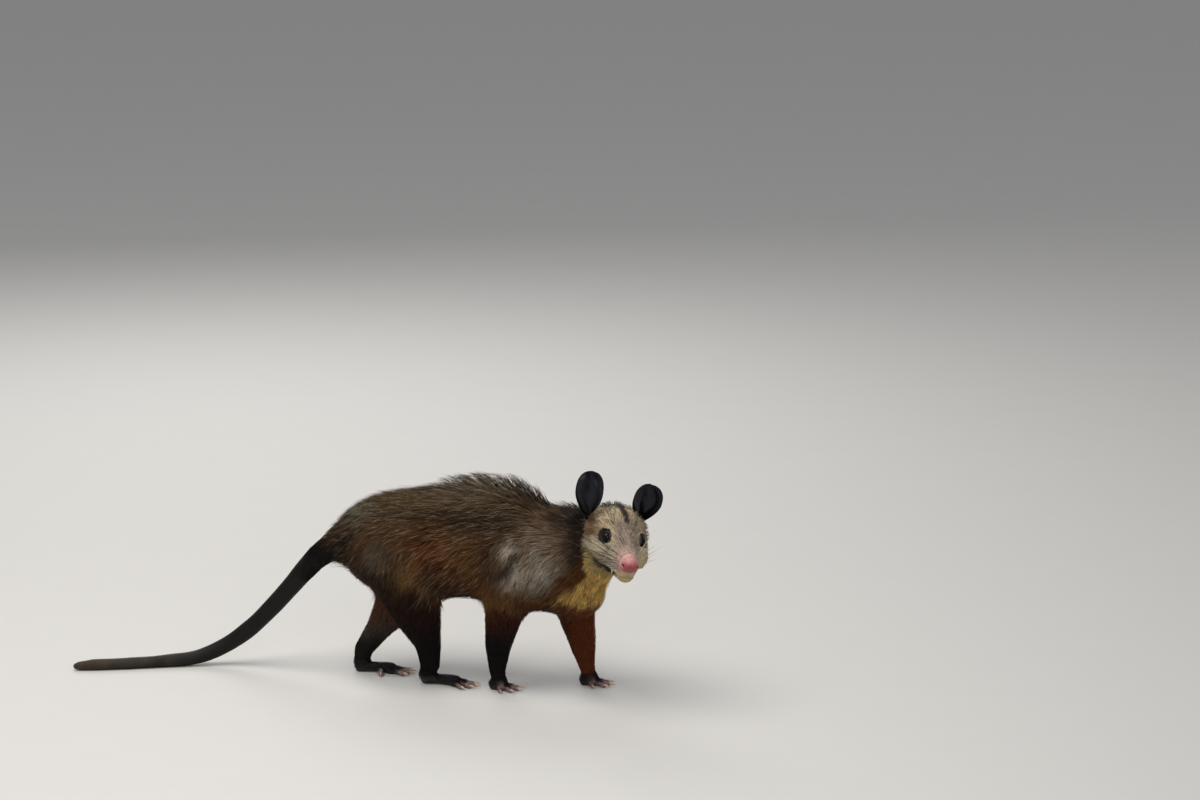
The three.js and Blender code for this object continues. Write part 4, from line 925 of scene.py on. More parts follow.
GROUPS = {
    "trunk": lines_with_coat([TRUNK[name] for name in ("barrel", "ridge", "brisket")]),
    "neck": lines_with_coat([TRUNK["neck"]]),
    "throat": lines_with_coat([TRUNK["throat"]]),
    "tail_root": lines_with_coat([TRUNK["tail_root"]]),
    **{name: lines_with_coat([(0, line)]) for name, line in LEG.items()},
    "head": lines_with_coat(HEAD.values(), placed_in_head),
}
GROUP_NAMES = list(GROUPS)


def nearest_form(points, lines):
    """Distance to the nearest of some lines of balls, and the depth of its coat there."""
    best = np.full(len(points), np.inf)
    coat = np.zeros(len(points))
    for line in lines:
        for a, b in zip(line[:-1], line[1:]):
            along = b[:3] - a[:3]
            share = np.clip((points - a[:3]) @ along / (along @ along), 0, 1)
            away = np.linalg.norm(points - a[:3] - share[:, None] * along, axis=1)
            away = away - a[3] - share * (b[3] - a[3])
            closer = away < best
            best = np.where(closer, away, best)
            coat = np.where(closer, a[4] + share * (b[4] - a[4]), coat)
    return best, coat


def coat_at(points):
    """For points on the skin: the share that each group of forms has there, and the depth of the coat."""
    found = [nearest_form(points, GROUPS[name]) for name in GROUP_NAMES]
    away = np.stack([distance for distance, _ in found], axis=1)
    depths = np.stack([coat for _, coat in found], axis=1)
    shares = np.exp(-(away - away.min(axis=1, keepdims=True)) / 5)
    shares /= shares.sum(axis=1, keepdims=True)
    return shares, (shares * depths).sum(axis=1)


def crest_share(points, normals):
    """1 along the middle of the raised crest over the shoulders, 0 away from it."""
    x, y, _ = points.T
    ends = smooth(x, CREST["from"], CREST["full_from"]) * smooth(x, CREST["to"], CREST["full_to"])
    return ends * smooth(np.abs(y), CREST["half"], CREST["half"] * 0.5) * smooth(normals[:, 2], 0.3, 0.6)


def nape_share(points, normals):
    """1 on the nape, where the coat stands up a little, 0 below and behind it."""
    x, _, z = points.T
    high = smooth(z, NAPE["above"] - 8, NAPE["above"])
    return smooth(x, NAPE["from"], NAPE["full_from"]) * high * (normals[:, 2] > 0.1)


def crown_share(points):
    """1 in the dark fuzz on top of the head, between the ears and behind them."""
    f, s, v = in_head(points).T
    near = away_from(HEAD_AT, points) < FACE_REACH + 15
    back = smooth(f, CROWN["to"], CROWN["to"] - 7) * (f > CROWN["from"])
    return near * back * smooth(v, CROWN["above"], 14)


def parted(way, out, share):
    """Ways that head against out, turned aside by a share of that."""
    return unit(way - (share * np.minimum(dots(way, out), 0))[:, None] * out)


def lie_of(points, normals, shares):
    """The way the coat lies: back and down over the body, down the legs, and back over the face."""
    way = np.zeros_like(points)
    for n, name in enumerate(GROUP_NAMES):
        part = np.zeros_like(points)
        if name == "trunk":
            part[:] = (-1, 0, 0)
            part[:, 2] = -0.62 * np.abs(normals[:, 1]) - 0.1
        elif name == "head":
            local = in_head(points)
            part[:] = head_direction(-1, 0, -0.1)
            part += 0.35 * smooth(-local[:, 2], 4, 20)[:, None] * head_direction(0, 0, -1)
            part += 0.016 * local[:, 1:2] * head_direction(0, 1, 0)
        elif name in LIE:
            part[:] = LIE[name]
        else:
            part[:] = (-0.3, 0, -1)
        way += shares[:, n:n + 1] * unit(part)
    way += 1.5 * throat_share(points)[:, None] * np.array([-0.35, 0, -1])
    turn = 0.22 * waves(points, 34, 31) + 0.12 * waves(points, 11, 32)
    way = unit(along_skin(way, normals))
    # The hair parts in front of each eye and runs round it, and along the lips
    for side in (1, -1):
        out = unit(along_skin(points - eye_centre(side), normals))
        near = smooth(away_from(eye_centre(side), points), 17, 11)
        way = parted(way, out, 0.85 * near)
    gap = from_mouth(points)
    close = gap < 7
    if close.any():
        out = unit(along_skin(slope(from_mouth, points[close]), normals[close]))
        way[close] = parted(way[close], out, 0.9 * smooth(gap[close], 7, 3))
    return turned_by(turn, way, normals)


def tuft_length(depth, shares, points):
    """Long on the trunk, short on the face, and shortest round the eyes and the ears."""
    head = shares[:, GROUP_NAMES.index("head")]
    length = (1.65 * depth + 1.6) * (1 - head) + (1.7 * depth + 1.6) * head
    length = length * (1 + 0.2 * throat_share(points) * (1 - head))
    for side in (1, -1):
        length = length * (0.4 + 0.6 * smooth(away_from(eye_centre(side), points), 9, 18))
    for name in EAR:
        length = length * (0.45 + 0.55 * smooth(distance_to_line(points, ear_opening(name)), 0, 8))
    return length * (0.4 + 0.6 * smooth(from_mouth(points), 1, 8))


def ear_axes(name):
    up = unit(head_direction(*EAR[name]["axis"]))
    opens = head_direction(*EAR[name]["opens"])
    return up, unit(opens - (opens @ up) * up)


def ear_opening(name):
    """The mouth of the funnel of an ear, as a line of balls."""
    up, opens = ear_axes(name)
    root = head_point(*EAR[name]["root"])
    return np.array([(*(root + ahead * opens + rise * up), radius) for ahead, rise, radius in EAR_OPENING])


def tuft_width(length):
    least, gain = TUFT_WIDTH
    return least + gain * length


def marking_at(points, normals, shares):
    """The colour of the coat, and how strongly its tips are grizzled."""
    colour = np.zeros_like(points)
    grizzle = np.zeros(len(points))
    trunk = trunk_colour(points, normals)
    neck = neck_colour(points, trunk)
    kinds = {
        "trunk": (trunk, 1.0),
        "neck": (neck, 0.25),
        "throat": (neck, 0.1),
        "tail_root": (np.broadcast_to(PAINT["tail_dark"], points.shape), 0.3),
        "head": (neck, 0.3),
    }
    for n, name in enumerate(GROUP_NAMES):
        part, strength = kinds.get(name) or (leg_colour(points, name, trunk), 0.02)
        colour += shares[:, n:n + 1] * part
        grizzle += shares[:, n] * strength
    colour = chest_colour(points, colour)
    # Where the coat is near black, few of its tips are pale
    grizzle *= 0.2 + 0.8 * smooth(colour.mean(axis=1), 0.006, 0.035)
    face = face_share(points)
    return mix(colour, face_colour(points), face), grizzle * (1 - face) + 0.1 * face


def tufts_per_area(points, normals, layer):
    shares, depth = coat_at(points)
    length = tuft_length(depth, shares, points)
    if layer == "under":
        overlaps = OVERLAPS["short"] + (OVERLAPS["long"] - OVERLAPS["short"]) * smooth(length, 6, 24)
        return haired(points) * overlaps / (length * tuft_width(length))
    if layer == "guard":
        return LAYER[layer]["cover"] * smooth(depth, 4, 9) * haired(points)
    raised = np.maximum(nape_share(points, normals), crown_share(points))
    return LAYER[layer]["cover"] * np.maximum(crest_share(points, normals), raised) * haired(points)


def grown_roots(points, faces, random, density):
    """Seeded roots over a skin, spread by a density that takes middles and normals of its triangles."""
    triangles = np.concatenate([faces[:, [0, 1, 2]], faces[:, [0, 2, 3]]])
    a, b, c = (points[triangles[:, n]] for n in range(3))
    cross = np.cross(b - a, c - a)
    area = np.linalg.norm(cross, axis=1) / 2
    steps_up = np.cumsum(area * density((a + b + c) / 3, unit(cross)))
    count = int(steps_up[-1])
    picked = np.searchsorted(steps_up, (np.arange(count) + random.random(count)) / count * steps_up[-1])
    picked = np.minimum(picked, len(triangles) - 1)
    u, v = random.random(count), random.random(count)
    over = u + v > 1
    u, v = np.where(over, 1 - u, u), np.where(over, 1 - v, v)
    return a[picked] + u[:, None] * (b - a)[picked] + v[:, None] * (c - a)[picked]


def haired(points):
    """1 where tufts grow, 0 in the eyes, on the nose pad, in the line of the mouth and below the ankles."""
    grows = np.ones(len(points))
    for side in (1, -1):
        grows *= away_from(eye_centre(side), points) > EYE["bare"]
    for name in EAR:
        grows *= distance_to_line(points, ear_opening(name)) > 0
    near = away_from(HEAD_AT, points) < FACE_REACH
    grows *= ~(near & (in_head(points)[:, 0] > NOSE_CUT - 1.5))
    grows *= ~(near & (from_mouth(points) < LIP_BARE))
    return grows * (points[:, 2] > ANKLE)


def tuft_curves(field, roots, normals, lie, length, height, stations):
    """Points along each tuft: they follow the lie and stand off the skin by the height given at the tip."""
    curves = roots[:, None] + lie[:, None] * (length[:, None] * stations)[..., None]
    stands = np.sin(stations * math.pi / 2) ** 0.9
    for _ in range(2):
        flat = curves[:, 1:].reshape(-1, 3)
        off = field(flat).reshape(len(roots), -1)
        target = height[:, None] * stands[1:]
        curves[:, 1:] += (target - off)[..., None] * normals[:, None]
    curves[:, 0] -= ROOTED * normals
    return curves


def clumped(curves, roots, random):
    """Draws the tufts towards the nearest of some leading ones, more so at the tips."""
    leaders = random.choice(len(roots), max(1, len(roots) // CLUMP["each"]), replace=False)
    tree = kdtree.KDTree(len(leaders))
    for n, leader in enumerate(leaders):
        tree.insert(roots[leader], n)
    tree.balance()
    nearest = leaders[[tree.find(root)[1] for root in roots]]
    stations = curves.shape[1]
    hold = CLUMP["pull"] * (np.arange(stations) / (stations - 1)) ** 1.3
    return curves + hold[None, :, None] * (curves[nearest] - curves)


def tuft_mesh(name, curves, normals, width, colours, unwrapped):
    """Closed three-sided tufts, each drawn out to a point, with their colours and places on the unwrap."""
    count, stations = curves.shape[:2]
    rings = stations - 1
    swell = SWELL[stations]
    along = unit(np.gradient(curves, axis=1))
    across = unit(np.cross(along, normals[:, None]))
    ridge = np.cross(across, along)
    corners = []
    for ring in range(rings):
        wide = (width * swell[ring] / 2)[:, None]
        for side, up in ((1, -0.25), (0, 0.6), (-1, -0.25)):
            corners.append(curves[:, ring] + wide * (side * across[:, ring] + up * ridge[:, ring]))
    corners.append(curves[:, -1])
    each = len(corners)
    points = np.stack(corners, axis=1).reshape(-1, 3)
    first = (np.arange(count) * each)[:, None, None]
    quads = [(3 * r + c, 3 * r + (c + 1) % 3, 3 * r + 3 + (c + 1) % 3, 3 * r + 3 + c)
             for r in range(rings - 1) for c in range(3)]
    tips = [(3 * rings - 3 + c, 3 * rings - 3 + (c + 1) % 3, 3 * rings) for c in range(3)] + [(2, 1, 0)]
    quads = (first + np.array(quads)).reshape(-1, 4)
    tips = (first + np.array(tips)).reshape(-1, 3)
    mesh = mesh_of(name, points, quads, tips)
    levels = [ring for ring in range(rings) for _ in range(3)] + [rings]
    paint(mesh, colours[:, levels].reshape(-1, 3))
    quad_uv = [((c + du) / 3, (r + dr) / rings) for r in range(rings - 1) for c in range(3)
               for du, dr in ((0, 0), (1, 0), (1, 1), (0, 1))]
    last = 1 - 1 / rings
    tip_uv = [uv for c in range(3) for uv in ((c / 3, last), ((c + 1) / 3, last), (c / 3, 1))]
    tip_uv += [(0.66, 0), (0.33, 0), (0, 0)]
    patches = []
    for local in (quad_uv, tip_uv):
        patches.append((unwrapped[:, None] + PATCH * np.array(local)).reshape(-1, 2))
    layer = mesh.uv_layers.new(name="OFBake")
    layer.data.foreach_set("uv", np.concatenate(patches).astype(np.float32).ravel())
    return mesh


def unwrap_of(roots, region):
    """Each root's place on a flat unwrap of its part of the skin: along the part, and round it."""
    if region == "head":
        local = in_head(roots)
        along, side, up = local.T
        up = up + 8
    elif region in LEG:
        line = np.array([(x, y, z) for x, y, z, _, _ in LEG[region]][::-1], float)
        along = roots[:, 2]
        side = roots[:, 0] - np.interp(along, line[:, 2], line[:, 0])
        up = roots[:, 1] - np.interp(along, line[:, 2], line[:, 1])
    else:
        along = roots[:, 0]
        side, up = roots[:, 1], roots[:, 2] - 150
    around = np.arctan2(side, up) / (2 * math.pi) + 0.5
    span = np.ptp(along) or 1
    return np.stack([(along - along.min()) / span, around], axis=1) * (1 - 2 * PATCH) + PATCH / 2


def coat_layer(layer, points, faces, random):
    """All the tufts of one layer, as pieces for each part of the body."""
    facts = LAYER[layer]
    roots = grown_roots(points, faces, random, lambda middles, facing: tufts_per_area(middles, facing, layer))
    normals = unit(slope(animal_field, roots))
    shares, depth = coat_at(roots)
    crest, crown = crest_share(roots, normals), crown_share(roots)
    raised = np.maximum(crest, nape_share(roots, normals))
    count = len(roots)
    full = tuft_length(depth, shares, roots)
    length = full * facts["length"] * random.uniform(0.75, 1.15, count)
    height = depth * random.uniform(*facts["height"], count)
    if layer == "bristle":
        height += (3.5 * raised + 0.3 * crown) * random.uniform(0.4, 1.1, count)
        length += 3 * raised + 2 * crown
    else:
        height *= 1 - 0.22 * crest
    height = np.minimum(height, 0.82 * length)
    width = tuft_width(full) * facts["width"] * random.uniform(0.7, 1.2, count)
    turn = random.normal(0, 0.13, count)
    lie = turned_by(turn, lie_of(roots, normals, shares), normals)
    reach = np.sqrt(np.maximum(length ** 2 - height ** 2, (0.4 * length) ** 2))
    colour, grizzle = marking_at(roots, normals, shares)
    colour = colour * random.uniform(0.75, 1.25, count)[:, None]
    if layer == "bristle":
        darkened = np.maximum(smooth(np.abs(roots[:, 1]), 12, 3), roots[:, 0] > CREST["to"])
        colour = colour * (1 - 0.5 * darkened)[:, None]
    draw = random.random(count)
    dark = draw < facts["dark"] * (0.25 + 0.75 * np.maximum(grizzle, layer == "bristle"))
    pale = draw > 1 - facts["pale"] * grizzle
    tip = np.where(dark[:, None], np.minimum(PAINT["dark_tip"], colour), colour * 1.15)
    tip = np.where(pale[:, None], np.maximum(PAINT["pale_tip"], colour), tip)
    region = np.argmax(shares, axis=1)
    pieces = []
    for n, name in enumerate(GROUP_NAMES):
        for kind in TUFT:
            chosen = np.flatnonzero((region == n) & ((full > LONG_FROM) == (kind == "long")))
            if len(chosen) < FEWEST_TUFTS:
                continue
            stations, bright, tinge = (np.array(part) for part in TUFT[kind])
            curves = tuft_curves(animal_field, roots[chosen], normals[chosen], lie[chosen], reach[chosen],
                                 height[chosen], stations)
            curves = clumped(curves, roots[chosen], random)
            # Painted shade: each tuft darker towards its root
            shade = colour[chosen][:, None] * bright[:, None]
            shade = shade + tinge[:, None] * (tip[chosen][:, None] - shade)
            pieces += tuft_pieces(f"coat_{layer}_{name}_{kind}", curves, normals[chosen], width[chosen],
                                  shade, unwrap_of(roots[chosen], name), random)
    return pieces


def tuft_pieces(title, curves, normals, width, shade, unwrapped, random):
    """Tufts as objects that each hold a fair share of them, below the most that one may hold."""
    parts = math.ceil(len(curves) / MOST_TUFTS[curves.shape[1]])
    order = random.permutation(len(curves))
    pieces = []
    for part in range(parts):
        pick = order[part::parts]
        name = f"{title}_{part + 1}"
        mesh = tuft_mesh(name, curves[pick], normals[pick], width[pick], shade[pick], unwrapped[pick])
        pieces.append(new_object(name, mesh, COAT))
    return pieces


# Feet


def foot_forms(name):
    kind = name.split("_")[0]
    (x, y), degrees = FOOT[name]
    turn = math.radians(degrees)
    palm = PALM[kind]
    inward = 1 if name.endswith("right") else -1

    def local(forward, left, height):
        return np.array([x + forward * math.cos(turn) - left * math.sin(turn),
                         y + forward * math.sin(turn) + left * math.cos(turn), height])

    joints = [joint[:4] for joint in LEG[name][-2:]]
    heel, ball = local(-palm["length"], 0, palm["height"]), local(0, 0, palm["height"])
    middle = local(-palm["length"] * 0.45, 0, palm["height"] + 0.4)
    forms = [
        (6, [(*joints[0][:3], joints[0][3] - 3), (*joints[1][:3], joints[1][3] - 1.6)]),
        (6, [(*joints[1][:3], joints[1][3] - 1.6), (*heel, palm["radius"] - 1.6)]),
        (5, [(*heel, palm["radius"] - 1.6), (*middle, palm["radius"] - 1.8), (*ball, palm["radius"] - 1)]),
    ]
    for ahead, side, size in PADS:
        forms.append((2, [(*local(ahead + more, side, size), size) for more in (0, 1)]))
    claws = []
    for degrees_in, (ahead, side), length, radius in TOES[kind]:
        angle = turn + inward * math.radians(degrees_in)
        way = np.array([math.cos(angle), math.sin(angle), 0])
        root = local(ahead, inward * side, palm["height"] - 0.5)
        low = radius - FLAT_PRESS

        def along(share, height, root=root, way=way, length=length):
            return np.array([*(root + way * length * share)[:2], height])

        knuckles = ((-0.25, root[2], 1), (0.3, low + 2.2, 0.92), (0.55, low + 1.4, 0.86),
                    (0.86, low + 0.2, 1.04))
        forms.append((1.6, [(*along(share, height), radius * thick) for share, height, thick in knuckles]))
        claws.append((along, length, low, way))
    return forms, claws, kind


def from_toes(points, claws, share):
    """How far points are, seen from above, from that share of the nearest toe's length."""
    return np.min([np.linalg.norm((points - along(share, low))[:, :2], axis=1) for along, _, low, _ in claws],
                  axis=0)


def foot(name):
    forms, claws, kind = foot_forms(name)
    lines = [(blend, np.array(line, float)) for blend, line in forms]
    press = blended(lines)

    def field(points):
        return np.maximum(press(points), 0.05 - points[:, 2])

    points = np.concatenate([line[:, :3] for _, line in lines])
    low, high = points.min(axis=0) - 14, points.max(axis=0) + 14
    axes = [np.arange(a, b, GRID["foot"]) for a, b in zip((low[0], low[1], -2), high)]
    net, faces = surface_net(field, axes, settle=0)
    title = f"foot_{name}"
    mesh = mesh_of(title, net, faces)
    pale = smooth(from_toes(net, claws, 0.9), 12, 3) * smooth(-net[:, 2], -14, -6)
    colour = mix(PAINT["foot"], PAINT["toe"], pale)
    colour = tint(colour, "leg", smooth(net[:, 2], 12, 22))
    paint(mesh, colour * (1 + 0.2 * waves(net, 6, 41))[:, None])
    body = new_object(title, mesh, FOOT_SKIN)
    fur = foot_fur(name, field, net, faces, claws)
    nails = []
    up = np.array([0, 0, 1.0])
    for along, length, low, way in claws:
        side = np.cross(way, up)
        stations = []
        for toe_share, claw_share, height, thick in CLAW_LINE:
            half = CLAW["radius"] * thick
            share = toe_share + claw_share * CLAW["length"] / length
            middle = along(share, max(low + height * 0.6, half + 0.05))
            stations.append((middle, side * half * 0.75, up * half))
        nails.append(tube(stations, 10))
    return body, tube_object(f"claws_{name}", *joined(nails), CLAW_HORN), fur


def foot_fur(name, field, net, faces, claws):
    """Short dark hair over the top of the foot, down to the roots of the toes."""
    random = np.random.default_rng(len(name) + FOOT[name][1] + 40)
    turn = math.radians(FOOT[name][1])
    forward = np.array([math.cos(turn), math.sin(turn), 0])

    def density(middles, facing):
        on_top = smooth(facing[:, 2], -0.35, 0.1) * smooth(middles[:, 2], 3.2, 5) * (middles[:, 2] < 26)
        return FOOT_HAIR["cover"] * on_top * smooth(from_toes(middles, claws, 0.75), 5, 9)

    roots = grown_roots(net, faces, random, density)
    normals = unit(slope(field, roots, 0.5))
    way = forward * 0.9 + np.array([0, 0, -0.5]) * smooth(roots[:, 2], 8, 14)[:, None]
    lie = turned_by(random.normal(0, 0.25, len(roots)), unit(along_skin(way, normals)), normals)
    length = FOOT_HAIR["length"] * random.uniform(0.7, 1.2, len(roots))
    curves = tuft_curves(field, roots, normals, lie, length, 0.24 * length, np.array(TUFT["short"][0]))
    # Painted shade: each hair darker towards its root
    bright = np.array([0.7, 1, 1.2])
    colour = mix(PAINT["leg"], PAINT["foot"], random.random(len(roots)))[:, None] * bright[:, None]
    width = np.full(len(roots), FOOT_HAIR["width"])
    flat = np.stack([(roots[:, n] - roots[:, n].min()) / np.ptp(roots[:, n]) for n in (0, 1)], axis=1) * 0.99
    return tuft_pieces(f"fur_foot_{name}", curves, normals, width, colour, flat, random)


# Tail


def catmull_rom(line, per_span=40):
    """A centripetal curve through points, drawn out at even steps of its length."""
    line = np.array(line, float)
    line = np.concatenate([[2 * line[0] - line[1]], line, [2 * line[-1] - line[-2]]])
    found = []
    for n in range(1, len(line) - 2):
        p0, p1, p2, p3 = line[n - 1:n + 3]
        t = np.cumsum([0] + [np.linalg.norm(b - a) ** 0.5 for a, b in ((p0, p1), (p1, p2), (p2, p3))])
        s = np.linspace(t[1], t[2], per_span, endpoint=False)[:, None]
        a1 = (t[1] - s) / (t[1] - t[0]) * p0 + (s - t[0]) / (t[1] - t[0]) * p1
        a2 = (t[2] - s) / (t[2] - t[1]) * p1 + (s - t[1]) / (t[2] - t[1]) * p2
        a3 = (t[3] - s) / (t[3] - t[2]) * p2 + (s - t[2]) / (t[3] - t[2]) * p3
        b1 = (t[2] - s) / (t[2] - t[0]) * a1 + (s - t[0]) / (t[2] - t[0]) * a2
        b2 = (t[3] - s) / (t[3] - t[1]) * a2 + (s - t[1]) / (t[3] - t[1]) * a3
        found.append((t[2] - s) / (t[2] - t[1]) * b1 + (s - t[1]) / (t[2] - t[1]) * b2)
    found.append(line[-2:-1])
    return np.concatenate(found)


def tail():
    curve = catmull_rom(TAIL_LINE)
    lengths = np.concatenate([[0], np.cumsum(np.linalg.norm(np.diff(curve, axis=0), axis=1))])
    total = lengths[-1]
    rows = int(total / SCALE["row"] * SCALE["per_scale"])
    sides = SCALE["around"] * SCALE["per_scale"]
    at = np.linspace(0.03 * total, total, rows)
    middle = np.stack([np.interp(at, lengths, curve[:, n]) for n in range(3)], axis=1)
    table = np.array(TAIL_RADIUS)
    radius = np.interp(at / total, table[:, 0], table[:, 1]) - 0.4
    round_end = np.sqrt(np.clip((total + 3.5 - at) / 9, 0.02, 1))
    radius = radius * np.where(at > total - 5.5, round_end, 1)
    middle[:, 2] = np.maximum(middle[:, 2], radius + 0.1)
    along = unit(np.gradient(middle, axis=0))
    across = unit(np.cross(along, (0, 0.3, 1)))
    up = np.cross(across, along)
    turn = np.arange(sides) / sides * 2 * math.pi
    row = at[:, None] / SCALE["row"]
    shift = 0.5 * (np.floor(row) % 2)
    column = turn[None] / (2 * math.pi) * SCALE["around"] + shift
    in_row, in_column = row % 1, column % 1
    proud = SCALE["proud"] * (0.35 + 0.65 * in_row) * (1 - np.abs(2 * in_column - 1) ** 3) - 0.12
    wrinkle = 0.25 * np.sin(at / 9.0)[:, None] * np.sin(at / 31.0)[:, None]
    size = radius[:, None] + proud * np.minimum(1, radius[:, None] / 5) + wrinkle
    points = middle[:, None] + size[..., None] * (np.cos(turn)[None, :, None] * across[:, None]
                                                  + np.sin(turn)[None, :, None] * up[:, None])
    points = points.reshape(-1, 3)
    points[:, 2] = np.maximum(points[:, 2], 0.05)
    ends = np.stack([middle[0], middle[-1] + along[-1] * 1.2])
    points = np.concatenate([points, ends])
    r, s = np.meshgrid(np.arange(rows - 1), np.arange(sides), indexing="ij")
    a, b = r * sides + s, r * sides + (s + 1) % sides
    quads = np.stack([a, a + sides, b + sides, b], axis=-1).reshape(-1, 4)
    s = np.arange(sides)
    after, last = (s + 1) % sides, (rows - 1) * sides
    caps = np.concatenate([
        np.stack([np.full(sides, len(points) - 2), s, after], axis=1),
        np.stack([np.full(sides, len(points) - 1), last + after, last + s], axis=1),
    ])
    mesh = mesh_of("tail", points, quads, caps)
    share = np.concatenate([np.repeat(at / total, sides), [0, 1]])
    blotch = waves(points, 26, 51)
    colour = mix(PAINT["leg"], PAINT["tail_dark"], smooth(share, 0.05, 0.2))
    colour = tint(colour, "tail_tip", smooth(share + 0.05 * blotch, 0.55, 1.0))
    # Painted shade: darker in the grooves between the scales
    groove = np.concatenate([(0.55 + 0.45 * np.clip(proud / SCALE["proud"] * 1.6, 0, 1)).ravel(), [1, 1]])
    paint(mesh, colour * groove[:, None] * (1 + 0.15 * blotch)[:, None])
    return new_object("tail", mesh, TAIL_SKIN)


# Ears


def ear_half_width(share, width):
    widest = 0.56
    above = width / 2 * np.clip(1 - (np.clip(share - widest, 0, 1) / (1 - widest)) ** 2.6, 0, 1) ** 0.45
    below = width / 2 * (0.1 + 0.9 * np.sin(np.clip(share / widest, 0, 1) * math.pi / 2) ** 0.85)
    return np.where(share > widest, above, below)


def ear(name):
    facts = EAR[name]
    root = head_point(*facts["root"])
    up, opens = ear_axes(name)
    across = np.cross(up, opens)
    rows, columns = 96, 64
    height, width = facts["height"], facts["width"]
    j, i = np.meshgrid(np.arange(rows + 1), np.arange(columns + 1), indexing="ij")
    rise = (height + EAR_BELOW) * (1 - (1 - j / rows) ** 1.6) - EAR_BELOW
    share = np.clip(rise / height, 0, 1)
    side = 2 * i / columns - 1
    half = np.maximum(ear_half_width(share, width) * (1 + np.minimum(rise, 0) / (2 * EAR_BELOW)), 0.6)
    curl = EAR_CUP * (1 - 0.55 * share)
    depth = curl * (side * side - 0.55) + 2.5 * np.sin(math.pi * share)
    # Folds that run up the inside, a rolled rim, and a soft wave of the thin leather
    fan = side * (6.4 - 2.2 * share) + 1.3 * share + 0.6 + 0.4 * np.sin(7 * share + 3 * side)
    ridges = np.abs(np.sin(fan)) ** 0.7
    pleats = 1.5 * ridges * smooth(share, 0.02, 0.25) * (1 - smooth(share, 0.72, 0.97)) * (1 - side ** 4)
    cross = 0.16 * np.sin(share * 21 + 4 * side) * np.sin(side * 7) * smooth(share, 0.2, 0.5)
    edge = np.maximum(np.abs(side), share)
    rim = 0.8 * np.maximum(smooth(np.abs(side), 0.9, 1.0), smooth(share, 0.975, 1.0))
    wave = 0.9 * np.sin(share * 5 + side * 2.5 + len(name)) * smooth(share, 0.3, 1)
    depth = depth + pleats + cross + rim + wave
    thick = 0.55 * (1 - 0.62 * edge ** 4) + 0.12
    thick = thick + 1.5 * (1 - smooth(rise, -4, 14)) * (1 - side ** 2)
    spread = half * np.sin(side * math.pi / 2 * 0.96)
    middle = root + rise[..., None] * up + spread[..., None] * across + depth[..., None] * opens
    front = middle + thick[..., None] * opens
    back = middle - thick[..., None] * opens
    points = np.concatenate([front.reshape(-1, 3), back.reshape(-1, 3)])
    at = j * (columns + 1) + i
    a, b, c, d = at[:-1, :-1], at[:-1, 1:], at[1:, 1:], at[1:, :-1]
    total = (rows + 1) * (columns + 1)
    faces = [np.stack([a, b, c, d], axis=-1).reshape(-1, 4),
             np.stack([d, c, b, a], axis=-1).reshape(-1, 4) + total]
    border = np.concatenate([at[0, :-1], at[:-1, -1], at[-1, :0:-1], at[:0:-1, 0]])
    after = np.roll(border, -1)
    faces.append(np.stack([after, border, border + total, after + total], axis=1))
    mesh = mesh_of(name, points, np.concatenate(faces))
    # Painted glints: lighter bluish colour along the crests of the folds
    painted_glint = np.tile((ridges ** 3 * smooth(share, 0.1, 0.4)).ravel(), 2)
    paint(mesh, mix(PAINT["ear"], PAINT["ear_painted_glint"], 0.8 * painted_glint))
    return new_object(name, mesh, EAR_LEATHER)


# Nose, eyes, lids, tooth and whiskers


def nose():
    f, _, v = NOSE_TIP
    forms = [(3, [(f - 12, 0, v + 1, 9.6, 0.2), (f - 5, 0, v + 1.2, 8.2, 0)]),
             (4, [(f - 9, 0, v + 5, 6.4, 0), (f - 5.5, 0, v + 4.2, 5, 0)])]
    forms += [(3, [(f - 8, side * 4.6, v, 5.4, 0), (f - 4.6, side * 4.6, v, 4.9, 0)]) for side in (1, -1)]
    lines = [(blend, bare(placed_in_head(line))) for blend, line in forms]
    pits = [np.array([(*head_point(f + ahead, side * out, v + rise), radius)
                      for ahead, out, rise, radius in NOSTRIL]) for side in (1, -1)]
    groove = np.array([(*head_point(f + 2.6, 0, v + 3), 0.6), (*head_point(f + 3, 0, v - 3), 0.9),
                       (*head_point(f - 0.5, 0, v - 9), 1.1)])

    def field(points):
        distance = blended(lines)(points)
        for pit in pits:
            distance = -smooth_min(-distance, distance_to_line(points, pit), 1.4)
        distance = -smooth_min(-distance, distance_to_line(points, groove), 1.2)
        return distance + 0.1 * waves(points, 1.7, 61)

    centre = head_point(f - 5, 0, v)
    net, faces = surface_net(field, [np.arange(c - 17, c + 17, GRID["nose"]) for c in centre], settle=0)
    mesh = mesh_of("nose", net, faces)
    local = in_head(net)
    deep = np.min([distance_to_line(net, pit) for pit in pits], axis=0)
    colour = mix(PAINT["nose"], PAINT["nose_top"], smooth(local[:, 2], v + 1, v + 9))
    colour = mix(colour, mix(PAINT["muzzle"], PAINT["nose_top"], 0.5), smooth(local[:, 0], f - 4, f - 9))
    colour = tint(colour, "nose_top", 0.5 * smooth(np.abs(local[:, 1]), 6, 9.5))
    colour = tint(colour, "nose", smooth(local[:, 2], v - 4, v - 9), 0.8)
    colour = colour * (1 + 0.14 * waves(net, 2.6, 62))[:, None]
    inside = smooth(local[:, 0], f - 7, f - 2) * smooth(np.abs(local[:, 1]), 9.6, 8)
    inside = np.maximum(inside, smooth(local[:, 0], f - 1, f - 3))
    # Painted shade: darker deep in the nostril pits
    colour = tint(colour, "nostril_shade", smooth(deep, 0.35, 0.05) * inside)
    paint(mesh, np.clip(colour, 0, 0.9))
    return new_object("nose", mesh, NOSE_SKIN)


